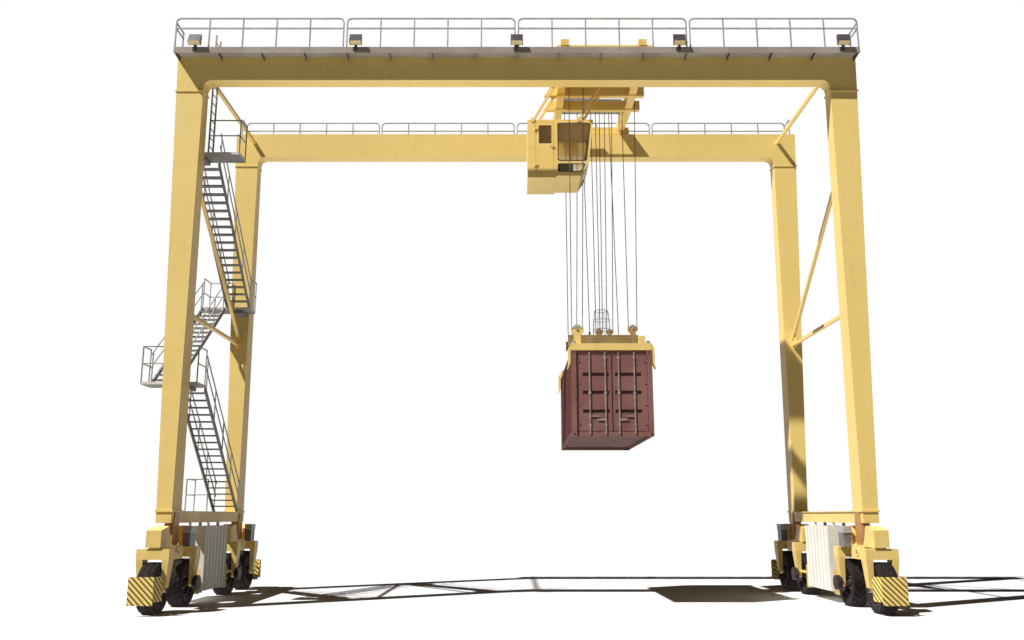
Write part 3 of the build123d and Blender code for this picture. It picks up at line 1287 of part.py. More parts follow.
# Container doors with bands pressed in, lock bars and their handles, all locked shut
door_low = CONTAINER_BOTTOM + 150 + SEAT_GAP
door_high = CONTAINER_TOP - 120 - SEAT_GAP
door_reach = CONTAINER_SIDE - CORNER_POST - SEAT_GAP
door_face = -CONTAINER_END + DOOR_RECESS
with BuildPart() as container_doors:
    for hand in (-1, 1):
        leaf = sorted((LOAD_CENTRE + hand * 6, LOAD_CENTRE + hand * door_reach))
        add(plate(leaf, (door_face, door_face + 55), (door_low, door_high)))
        band = sorted((LOAD_CENTRE + hand * 90, LOAD_CENTRE + hand * (door_reach - 190)))
        for share in DOOR_BANDS:
            low = door_low + share * (door_high - door_low)
            hollow = plate(band, (door_face - 5, door_face + 35), (low, low + DOOR_BAND_HEIGHT))
            add(hollow, mode=Mode.SUBTRACT)
    bar_y = (-CONTAINER_END + 8, -CONTAINER_END + 42)
    for share, lever in LOCK_BARS:
        x = LOAD_CENTRE + share * door_reach
        add(plate((x - 17, x + 17), bar_y, (door_low - 90, door_high + 70)))
        for z in (door_low + 190, door_low + 1150, door_high - 110):
            add(plate((x - 45, x + 45), (-CONTAINER_END + 20, door_face + 5), (z - 30, z + 30)))
        toward = LEVER_LENGTH if share in (LOCK_BARS[0][0], LOCK_BARS[2][0]) else -LEVER_LENGTH
        lever_z = (door_low + lever, door_low + lever + 40)
        add(plate(sorted((x, x + toward)), (-CONTAINER_END + 12, -CONTAINER_END + 26), lever_z))
keep("container_doors", container_doors)


# Write every piece, set about the middle of the whole crane's width
low_x = min(piece.bounding_box().min.X for piece in pieces.values())
high_x = max(piece.bounding_box().max.X for piece in pieces.values())
shift = -(low_x + high_x) / 2
for name, piece in pieces.items():
    placed = piece.moved(Location((shift, 0, 0)))
    placed.label = name
    export_step(placed, f"parts/{name}.step")
print("pieces", len(pieces), "shift", round(shift, 4))
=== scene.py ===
"""Dressed scene of a rubber tyred gantry crane on a pale floor.

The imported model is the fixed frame. Each class below is one sub-assembly: it
keeps its sizes in metres, builds the small parts that the frame leaves out and
gives the frame's own parts their finishes.
"""
import logging
import math
from dataclasses import dataclass, field
from enum import Enum
from typing import Callable

import bmesh
import bpy
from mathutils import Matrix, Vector


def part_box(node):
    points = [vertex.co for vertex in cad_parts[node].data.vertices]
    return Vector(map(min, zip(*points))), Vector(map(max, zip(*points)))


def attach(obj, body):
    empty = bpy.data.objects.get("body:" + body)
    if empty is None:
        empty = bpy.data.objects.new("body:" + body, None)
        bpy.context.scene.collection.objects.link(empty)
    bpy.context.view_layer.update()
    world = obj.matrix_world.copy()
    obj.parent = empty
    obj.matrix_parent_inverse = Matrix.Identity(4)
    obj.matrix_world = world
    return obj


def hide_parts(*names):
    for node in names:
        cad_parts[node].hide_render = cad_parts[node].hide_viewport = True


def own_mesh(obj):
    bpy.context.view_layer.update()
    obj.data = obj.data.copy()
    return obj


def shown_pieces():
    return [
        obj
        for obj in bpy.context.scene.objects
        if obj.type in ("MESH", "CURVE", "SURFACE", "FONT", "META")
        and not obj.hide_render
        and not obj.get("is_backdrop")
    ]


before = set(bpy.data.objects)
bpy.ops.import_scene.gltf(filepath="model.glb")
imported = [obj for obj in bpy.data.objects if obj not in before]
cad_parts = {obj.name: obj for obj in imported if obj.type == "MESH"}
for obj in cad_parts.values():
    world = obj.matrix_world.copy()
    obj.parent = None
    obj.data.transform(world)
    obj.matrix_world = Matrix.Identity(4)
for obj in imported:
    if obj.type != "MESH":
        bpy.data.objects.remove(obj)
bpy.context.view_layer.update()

LOG = logging.getLogger("gantry_crane")

Point = tuple[float, float, float]
Colour = tuple[float, float, float]

# The frame is centred on the whole width with its stairs, so the middle of the
# span lies this far to the right of zero.
SPAN_MIDDLE = 0.28875


class Side(Enum):
    """The two legs of the span, with the sign of their X."""

    LEFT = -1
    RIGHT = 1

    @property
    def word(self) -> str:
        """Name of the side as the frame's parts spell it."""
        return self.name.lower()


class End(Enum):
    """The two portals of the crane, with the sign of their Y."""

    FRONT = -1
    REAR = 1

    @property
    def word(self) -> str:
        """Name of the end as the frame's parts spell it."""
        return self.name.lower()


class Place(Enum):
    """The two wheels under one rocking beam, with their way from its middle."""

    OUTER = 1
    INNER = -1

    @property
    def word(self) -> str:
        """Name of the place as the frame's parts spell it."""
        return self.name.lower()


class Axis(Enum):
    """A direction that a round part turns about."""

    X = 0
    Y = 1
    Z = 2

    def place(self, centre: Point, along: float, radius: float, angle: float) -> Point:
        """Point on a circle about this axis.

        Args:
            centre: Middle of the round part.
            along: Way along the axis from the middle.
            radius: Distance from the axis.
            angle: Turn about the axis, in radians.

        Returns:
            The point in the row frame.
        """
        a, b = radius * math.cos(angle), radius * math.sin(angle)
        offset = {Axis.X: (along, a, b), Axis.Y: (a, along, b), Axis.Z: (a, b, along)}[self]
        return tuple(c + o for c, o in zip(centre, offset))


# Node trees


class Graph:
    """A thin hand for placing and joining the nodes of one tree."""

    def __init__(self, tree: bpy.types.NodeTree) -> None:
        """Start on a tree that holds nothing yet.

        Args:
            tree: The node tree to fill.
        """
        self.tree = tree
        self.tree.nodes.clear()

    def node(self, kind: str, inputs: dict | None = None, **settings: object) -> bpy.types.Node:
        """Place one node.

        Args:
            kind: Blender's type name of the node.
            inputs: Value or socket for each input, by name or number.
            **settings: Properties of the node itself.

        Returns:
            The new node.
        """
        made = self.tree.nodes.new(kind)
        for name, value in settings.items():
            setattr(made, name, value)
        for name, value in (inputs or {}).items():
            if isinstance(value, bpy.types.NodeSocket):
                self.tree.links.new(value, made.inputs[name])
            elif isinstance(value, tuple) and len(value) == 3 and made.inputs[name].type == "RGBA":
                made.inputs[name].default_value = (*value, 1.0)
            else:
                made.inputs[name].default_value = value
        return made

    def math(self, action: str, first: object, second: object = 0.0,
             clamp: bool = False) -> bpy.types.NodeSocket:
        """Join two values by one sum.

        Args:
            action: Name of the operation.
            first: First value or socket.
            second: Second value or socket.
            clamp: Whether the result is held between 0 and 1.

        Returns:
            The result's socket.
        """
        return self.node("ShaderNodeMath", {0: first, 1: second}, operation=action,
                         use_clamp=clamp).outputs[0]

    def mix(self, share: object, first: object, second: object, mode: str = "MIX") -> bpy.types.NodeSocket:
        """Blend two colours.

        Args:
            share: How much of the second colour shows.
            first: Colour or socket.
            second: Colour or socket.
            mode: Blend mode.

        Returns:
            The colour's socket.
        """
        made = self.node("ShaderNodeMix", {0: share, 6: first, 7: second}, data_type="RGBA", blend_type=mode)
        return made.outputs[2]

    def noise(self, where: bpy.types.NodeSocket, scale: object, detail: float = 3.0) -> bpy.types.NodeSocket:
        """Value of a cloud noise.

        Args:
            where: Coordinates.
            scale: Lumps per metre.
            detail: Number of finer layers.

        Returns:
            The value's socket.
        """
        return self.node("ShaderNodeTexNoise",
                         {"Vector": where, "Scale": scale, "Detail": detail}).outputs["Fac"]

    def step(self, value: object, low: float, high: float, top: object = 1.0) -> bpy.types.NodeSocket:
        """Soft step from 0 up to a top value.

        Args:
            value: The value that is looked at.
            low: Where the step begins.
            high: Where the step ends.
            top: Value above the step.

        Returns:
            The result's socket.
        """
        inputs = {"Value": value, "From Min": low, "From Max": high, "To Min": 0.0, "To Max": top}
        return self.node("ShaderNodeMapRange", inputs, interpolation_type="SMOOTHSTEP").outputs["Result"]

    def object_place(self) -> bpy.types.NodeSocket:
        """Coordinates fixed to the object, in metres."""
        return self.node("ShaderNodeTexCoord").outputs["Object"]

    def stretched(self, where: bpy.types.NodeSocket, scale: Point) -> bpy.types.NodeSocket:
        """Coordinates drawn out along some axes.

        Args:
            where: Coordinates.
            scale: Factor for each axis.

        Returns:
            The new coordinates' socket.
        """
        return self.node("ShaderNodeMapping", {"Vector": where, "Scale": scale}).outputs[0]


class Effect(Enum):
    """Effects that several finishes share, each one a node group."""

    WEATHER = "Weathering"
    STRIPES = "Hazard stripes"
    PLATE = "Raised tread plate"
    DUST = "Road dust"
    SEAMS = "Plate seams"


@dataclass
class EffectShelf:
    """Builds each shared effect once and hands out its node group."""

    made: dict[Effect, bpy.types.NodeTree] = field(default_factory=dict)

    def group(self, effect: Effect) -> bpy.types.NodeTree:
        """Node group of one effect.

        Args:
            effect: The effect that is wanted.

        Returns:
            Its node group, built on first use.
        """
        if effect not in self.made:
            builders = {
                Effect.WEATHER: self._weather,
                Effect.STRIPES: self._stripes,
                Effect.PLATE: self._plate,
                Effect.DUST: self._dust,
                Effect.SEAMS: self._seams,
            }
            self.made[effect] = builders[effect]()
        return self.made[effect]

    def _start(self, effect: Effect, inputs: dict[str, object],
               outputs: dict[str, str]) -> tuple[Graph, dict, object]:
        """Open a new group with its sockets.

        Args:
            effect: The effect, for its name.
            inputs: Default value of each input; a colour where it is a tuple.
            outputs: Socket type of each output.

        Returns:
            The graph, the input sockets by name and the output node.
        """
        tree = bpy.data.node_groups.new(effect.value, "ShaderNodeTree")
        graph = Graph(tree)
        for name, value in inputs.items():
            kind = "NodeSocketColor" if isinstance(value, tuple) else "NodeSocketFloat"
            socket = tree.interface.new_socket(name=name, in_out="INPUT", socket_type=kind)
            socket.default_value = (*value, 1.0) if isinstance(value, tuple) else value
        for name, kind in outputs.items():
            tree.interface.new_socket(name=name, in_out="OUTPUT", socket_type=kind)
        entry = graph.node("NodeGroupInput")
        leave = graph.node("NodeGroupOutput")
        return graph, {name: entry.outputs[name] for name in inputs}, leave

    def _weather(self) -> bpy.types.NodeTree:
        """Fading, grime, run marks and chips on painted or bare steel."""
        graph, given, leave = self._start(
            Effect.WEATHER,
            {"Paint": (0.8, 0.6, 0.2), "Faded": (0.85, 0.68, 0.3), "Grime": (0.25, 0.18, 0.1),
             "Chip": (0.15, 0.07, 0.04),
             "Grime Amount": 0.3, "Run Amount": 0.3, "Chip Amount": 0.2, "Roughness": 0.45,
             "Patch Scale": 0.5},
            {"Color": "NodeSocketColor", "Roughness": "NodeSocketFloat", "Height": "NodeSocketFloat"},
        )
        where = graph.object_place()
        patch = graph.step(graph.noise(where, given["Patch Scale"], 4.0), 0.38, 0.66)
        colour = graph.mix(patch, given["Paint"], given["Faded"])
        runs = graph.noise(graph.stretched(where, (7.0, 7.0, 0.4)), 1.0, 4.0)
        runs = graph.math("MULTIPLY", graph.step(runs, 0.55, 0.8), given["Run Amount"])
        colour = graph.mix(runs, colour, given["Grime"])
        soil = graph.noise(where, 2.4, 7.0)
        soil = graph.math("MULTIPLY", graph.step(soil, 0.5, 0.78), given["Grime Amount"])
        colour = graph.mix(soil, colour, given["Grime"])
        chips = graph.math("MULTIPLY", graph.noise(where, 23.0, 3.0), graph.noise(where, 3.1, 2.0))
        chips = graph.math("MULTIPLY", graph.step(chips, 0.36, 0.4), given["Chip Amount"])
        colour = graph.mix(chips, colour, given["Chip"])
        rough = graph.math("ADD", given["Roughness"], graph.math("MULTIPLY", soil, 0.35))
        rough = graph.math("ADD", rough, graph.math("MULTIPLY", graph.math("ADD", patch, chips), 0.07),
                           clamp=True)
        fine = graph.math("MULTIPLY", graph.noise(where, 160.0, 2.0), 0.25)
        wavy = graph.math("MULTIPLY", graph.noise(where, 5.0, 2.0), 0.5)
        height = graph.math("SUBTRACT", graph.math("ADD", fine, wavy), graph.math("MULTIPLY", chips, 0.6))
        for name, socket in (("Color", colour), ("Roughness", rough), ("Height", height)):
            graph.tree.links.new(socket, leave.inputs[name])
        return graph.tree

    def _stripes(self) -> bpy.types.NodeTree:
        """Slanted warning bands in two colours, with scuffed dark ones."""
        graph, given, leave = self._start(
            Effect.STRIPES,
            {"Bright": (0.9, 0.62, 0.12), "Dark": (0.03, 0.015, 0.012), "Pitch": 0.155, "Dark Share": 0.36,
             "Scuff": 0.25},
            {"Color": "NodeSocketColor", "Mask": "NodeSocketFloat"},
        )
        where = graph.object_place()
        parts = graph.node("ShaderNodeSeparateXYZ", {0: where})
        inward = graph.math("MULTIPLY", graph.math("SIGN", parts.outputs[0]), parts.outputs[1])
        line = graph.math("SUBTRACT", graph.math("ADD", parts.outputs[0], parts.outputs[2]), inward)
        turn = graph.math("FRACT", graph.math("DIVIDE", line, given["Pitch"]))
        band = graph.math("LESS_THAN", turn, given["Dark Share"])
        scuff = graph.math("MULTIPLY", graph.step(graph.noise(where, 19.0, 6.0), 0.52, 0.7), given["Scuff"])
        dark = graph.mix(scuff, given["Dark"], (0.16, 0.12, 0.09))
        colour = graph.mix(band, given["Bright"], dark)
        graph.tree.links.new(colour, leave.inputs["Color"])
        graph.tree.links.new(band, leave.inputs["Mask"])
        return graph.tree

    def _plate(self) -> bpy.types.NodeTree:
        """Raised lozenges of a non slip steel plate."""
        graph, given, leave = self._start(
            Effect.PLATE,
            {"Pitch": 0.06},
            {"Mask": "NodeSocketFloat", "Height": "NodeSocketFloat"},
        )
        parts = graph.node("ShaderNodeSeparateXYZ", {0: graph.object_place()})
        across = graph.math("DIVIDE", parts.outputs[0], given["Pitch"])
        along = graph.math("DIVIDE", parts.outputs[1], given["Pitch"])
        cells = graph.math("ADD", graph.math("FLOOR", across), graph.math("FLOOR", along))
        odd = graph.math("FLOORED_MODULO", cells, 2.0)
        du = graph.math("SUBTRACT", graph.math("FRACT", across), 0.5)
        dv = graph.math("SUBTRACT", graph.math("FRACT", along), 0.5)
        wide = graph.math("ADD", 1.3, graph.math("MULTIPLY", odd, 3.2))
        tall = graph.math("SUBTRACT", 4.5, graph.math("MULTIPLY", odd, 3.2))
        reach = graph.math(
            "ADD",
            graph.math("POWER", graph.math("ABSOLUTE", graph.math("MULTIPLY", du, wide)), 2.0),
            graph.math("POWER", graph.math("ABSOLUTE", graph.math("MULTIPLY", dv, tall)), 2.0),
        )
        mask = graph.math("SUBTRACT", 1.0, graph.step(reach, 0.22, 0.36))
        graph.tree.links.new(mask, leave.inputs["Mask"])
        graph.tree.links.new(mask, leave.inputs["Height"])
        return graph.tree

    def _dust(self) -> bpy.types.NodeTree:
        """Pale road dust that lies in patches on rubber, fabric and cast parts."""
        graph, given, leave = self._start(
            Effect.DUST,
            {"Base": (0.05, 0.04, 0.04), "Dust": (0.3, 0.26, 0.22), "Amount": 0.35, "Roughness": 0.75},
            {"Color": "NodeSocketColor", "Roughness": "NodeSocketFloat", "Height": "NodeSocketFloat"},
        )
        where = graph.object_place()
        wide = graph.step(graph.noise(where, 4.0, 6.0), 0.42, 0.72)
        fine = graph.noise(where, 60.0, 3.0)
        lies = graph.math("MULTIPLY", graph.math("MULTIPLY", wide, graph.math("ADD", 0.5, fine)),
                          given["Amount"])
        colour = graph.mix(lies, given["Base"], given["Dust"])
        rough = graph.math("ADD", given["Roughness"], graph.math("MULTIPLY", lies, 0.3), clamp=True)
        graph.tree.links.new(colour, leave.inputs["Color"])
        graph.tree.links.new(rough, leave.inputs["Roughness"])
        graph.tree.links.new(fine, leave.inputs["Height"])
        return graph.tree

    def _seams(self) -> bpy.types.NodeTree:
        """Faint upright and level weld seams between the plates of a box beam."""
        graph, given, leave = self._start(
            Effect.SEAMS,
            {"Length": 2.4, "Width": 0.012, "Strength": 0.5},
            {"Mask": "NodeSocketFloat", "Shade": "NodeSocketFloat"},
        )
        parts = graph.node("ShaderNodeSeparateXYZ", {0: graph.object_place()})
        joined = []
        for number in (0, 2):
            way = graph.math("ADD", parts.outputs[number], 0.41 + 0.3 * number)
            share = graph.math("FRACT", graph.math("DIVIDE", way, given["Length"]))
            off = graph.math("MULTIPLY", graph.math("ABSOLUTE", graph.math("SUBTRACT", share, 0.5)),
                             given["Length"])
            joined.append(graph.math("LESS_THAN", off, given["Width"]))
        mask = graph.math("MULTIPLY", graph.math("MAXIMUM", joined[0], joined[1]), given["Strength"])
        shade = graph.math("MULTIPLY",
                           graph.noise(graph.stretched(graph.object_place(), (0.3, 0.3, 0.15)), 1.0, 1.0),
                           0.2)
        graph.tree.links.new(mask, leave.inputs["Mask"])
        graph.tree.links.new(shade, leave.inputs["Shade"])
        return graph.tree


EFFECTS = EffectShelf()


# Finishes


@dataclass(frozen=True)
class Finish:
    """What every finish has: a name and one material that is made once."""

    name: str

    def material(self) -> bpy.types.Material:
        """The finish's material, made on first use."""
        found = bpy.data.materials.get(self.name)
        if found is None:
            found = bpy.data.materials.new(self.name)
            found.use_nodes = True
            graph = Graph(found.node_tree)
            shader = graph.node("ShaderNodeBsdfPrincipled")
            leave = graph.node("ShaderNodeOutputMaterial")
            graph.tree.links.new(shader.outputs[0], leave.inputs["Surface"])
            self.fill(graph, shader)
        return found

    def fill(self, graph: Graph, shader: bpy.types.Node) -> None:
        """Give the shader this finish's colour, gloss and relief.

        Args:
            graph: The material's nodes.
            shader: Its surface shader.
        """
        raise NotImplementedError

    def relief(self, graph: Graph, shader: bpy.types.Node, height: bpy.types.NodeSocket,
               depth: float) -> None:
        """Feed a height into the shader's normal.

        Args:
            graph: The material's nodes.
            shader: Its surface shader.
            height: Height over the surface, from 0 to 1.
            depth: Depth of the relief in metres.
        """
        bump = graph.node("ShaderNodeBump", {"Height": height, "Distance": depth, "Strength": 0.6})
        graph.tree.links.new(bump.outputs[0], shader.inputs["Normal"])


@dataclass(frozen=True)
class Paint(Finish):
    """Painted steel out of doors."""

    colour: Colour = (0.5, 0.5, 0.5)
    faded: Colour = (0.55, 0.55, 0.55)
    grime: Colour = (0.22, 0.18, 0.13)
    chip: Colour = (0.16, 0.07, 0.04)
    soil: float = 0.18
    runs: float = 0.16
    chips: float = 0.12
    roughness: float = 0.42
    metallic: float = 0.0
    patch: float = 0.5
    depth: float = 0.0015
    seams: float = 0.0
    tread: bool = False
    gloss: float = 0.3

    def fill(self, graph: Graph, shader: bpy.types.Node) -> None:
        """Give the shader weathered paint, with seams or a tread pattern where wanted.

        Args:
            graph: The material's nodes.
            shader: Its surface shader.
        """
        inputs = {
            "Paint": self.colour, "Faded": self.faded, "Grime": self.grime, "Chip": self.chip,
            "Grime Amount": self.soil, "Run Amount": self.runs, "Chip Amount": self.chips,
            "Roughness": self.roughness, "Patch Scale": self.patch,
        }
        weather = graph.node("ShaderNodeGroup", node_tree=EFFECTS.group(Effect.WEATHER))
        for name, value in inputs.items():
            weather.inputs[name].default_value = (*value, 1.0) if isinstance(value, tuple) else value
        colour, height = weather.outputs["Color"], weather.outputs["Height"]
        if self.seams:
            seam = graph.node("ShaderNodeGroup", {"Strength": self.seams},
                              node_tree=EFFECTS.group(Effect.SEAMS))
            colour = graph.mix(seam.outputs["Mask"], colour, self.grime)
            colour = graph.mix(seam.outputs["Shade"], colour, self.faded)
            height = graph.math("ADD", height, seam.outputs["Mask"])
        if self.tread:
            plate = graph.node("ShaderNodeGroup", node_tree=EFFECTS.group(Effect.PLATE))
            worn = graph.math("MULTIPLY", plate.outputs["Mask"], 0.35)
            colour = graph.mix(worn, colour, self.faded)
            height = graph.math("ADD", height, graph.math("MULTIPLY", plate.outputs["Height"], 2.0))
        graph.tree.links.new(colour, shader.inputs["Base Color"])
        graph.tree.links.new(weather.outputs["Roughness"], shader.inputs["Roughness"])
        shader.inputs["Metallic"].default_value = self.metallic
        shader.inputs["Specular IOR Level"].default_value = self.gloss
        self.relief(graph, shader, height, self.depth)


@dataclass(frozen=True)
class WarningPaint(Finish):
    """Slanted warning bands on the wheel guards."""

    bright: Colour = (0.90, 0.66, 0.16)
    dark: Colour = (0.035, 0.018, 0.015)
    pitch: float = 0.155
    dark_share: float = 0.36

    def fill(self, graph: Graph, shader: bpy.types.Node) -> None:
        """Give the shader its bands, under the same weather as the paint around.

        Args:
            graph: The material's nodes.
            shader: Its surface shader.
        """
        bands = graph.node("ShaderNodeGroup", node_tree=EFFECTS.group(Effect.STRIPES))
        for name, value in {"Bright": (*self.bright, 1.0), "Dark": (*self.dark, 1.0), "Pitch": self.pitch,
                            "Dark Share": self.dark_share}.items():
            bands.inputs[name].default_value = value
        weather = graph.node("ShaderNodeGroup", node_tree=EFFECTS.group(Effect.WEATHER))
        graph.tree.links.new(bands.outputs["Color"], weather.inputs["Paint"])
        graph.tree.links.new(bands.outputs["Color"], weather.inputs["Faded"])
        weather.inputs["Grime"].default_value = (0.2, 0.15, 0.1, 1.0)
        weather.inputs["Grime Amount"].default_value = 0.25
        graph.tree.links.new(weather.outputs["Color"], shader.inputs["Base Color"])
        graph.tree.links.new(weather.outputs["Roughness"], shader.inputs["Roughness"])
        self.relief(graph, shader, weather.outputs["Height"], 0.001)


@dataclass(frozen=True)
class Dusty(Finish):
    """Rubber, cast iron or cloth with road dust on it."""

    base: Colour = (0.045, 0.038, 0.04)
    dust: Colour = (0.26, 0.22, 0.19)
    amount: float = 0.3
    roughness: float = 0.72
    metallic: float = 0.0
    sheen: float = 0.0
    grain: float = 0.0008
    gloss: float = 0.15

    def fill(self, graph: Graph, shader: bpy.types.Node) -> None:
        """Give the shader a dark ground with pale dust in patches.

        Args:
            graph: The material's nodes.
            shader: Its surface shader.
        """
        dust = graph.node("ShaderNodeGroup", node_tree=EFFECTS.group(Effect.DUST))
        for name, value in {"Base": (*self.base, 1.0), "Dust": (*self.dust, 1.0), "Amount": self.amount,
                            "Roughness": self.roughness}.items():
            dust.inputs[name].default_value = value
        graph.tree.links.new(dust.outputs["Color"], shader.inputs["Base Color"])
        graph.tree.links.new(dust.outputs["Roughness"], shader.inputs["Roughness"])
        shader.inputs["Metallic"].default_value = self.metallic
        shader.inputs["Sheen Weight"].default_value = self.sheen
        shader.inputs["Specular IOR Level"].default_value = self.gloss
        self.relief(graph, shader, dust.outputs["Height"], self.grain)


@dataclass(frozen=True)
class Cloth(Finish):
    """Woven seat cover."""

    thread: Colour = (0.055, 0.05, 0.055)
    light: Colour = (0.11, 0.10, 0.11)
    pitch: float = 0.004

    def fill(self, graph: Graph, shader: bpy.types.Node) -> None:
        """Give the shader crossing threads and a soft sheen.

        Args:
            graph: The material's nodes.
            shader: Its surface shader.
        """
        parts = graph.node("ShaderNodeSeparateXYZ", {0: graph.object_place()})
        turns = [graph.math("SINE", graph.math("MULTIPLY", parts.outputs[n], math.tau / self.pitch))
                 for n in (0, 1, 2)]
        weave = graph.math("MULTIPLY", graph.math("ADD", turns[0], turns[2]), turns[1])
        weave = graph.math("ADD", 0.5, graph.math("MULTIPLY", weave, 0.25), clamp=True)
        soft = graph.noise(graph.object_place(), 30.0, 4.0)
        colour = graph.mix(graph.math("MULTIPLY", weave, soft), self.thread, self.light)
        graph.tree.links.new(colour, shader.inputs["Base Color"])
        shader.inputs["Roughness"].default_value = 0.9
        shader.inputs["Sheen Weight"].default_value = 0.25
        self.relief(graph, shader, weave, 0.0006)


@dataclass(frozen=True)
class Glass(Finish):
    """Tinted window glass with a little dust."""

    tint: Colour = (0.62, 0.50, 0.28)
    roughness: float = 0.03
    cover: float = 0.5

    def fill(self, graph: Graph, shader: bpy.types.Node) -> None:
        """Give the shader see through glass with dusty patches.

        Args:
            graph: The material's nodes.
            shader: Its surface shader.
        """
        dust = graph.node("ShaderNodeGroup", node_tree=EFFECTS.group(Effect.DUST))
        for name, value in {"Base": (*self.tint, 1.0), "Dust": (0.55, 0.48, 0.32, 1.0), "Amount": 0.12,
                            "Roughness": self.roughness}.items():
            dust.inputs[name].default_value = value
        graph.tree.links.new(dust.outputs["Color"], shader.inputs["Base Color"])
        graph.tree.links.new(dust.outputs["Roughness"], shader.inputs["Roughness"])
        shader.inputs["Transmission Weight"].default_value = 0.92
        shader.inputs["IOR"].default_value = 1.12
        shader.inputs["Alpha"].default_value = self.cover


@dataclass(frozen=True)
class Lens(Finish):
    """Ribbed lamp glass over a pale reflector."""

    colour: Colour = (0.92, 0.86, 0.66)
    rib: float = 0.02

    def fill(self, graph: Graph, shader: bpy.types.Node) -> None:
        """Give the shader upright ribs in pale glass, with painted shade in the grooves.

        Args:
            graph: The material's nodes.
            shader: Its surface shader.
        """
        parts = graph.node("ShaderNodeSeparateXYZ", {0: graph.object_place()})
        wave = graph.math("SINE", graph.math("MULTIPLY", parts.outputs[0], math.tau / self.rib))
        wave = graph.math("ADD", 0.5, graph.math("MULTIPLY", wave, 0.5))
        # Darker tone in the rib grooves: painted shade that follows the ribs' relief.
        deep = tuple(0.72 * c for c in self.colour)
        graph.tree.links.new(graph.mix(wave, deep, self.colour), shader.inputs["Base Color"])
        shader.inputs["Roughness"].default_value = 0.12
        shader.inputs["Coat Weight"].default_value = 0.6
        self.relief(graph, shader, wave, 0.003)


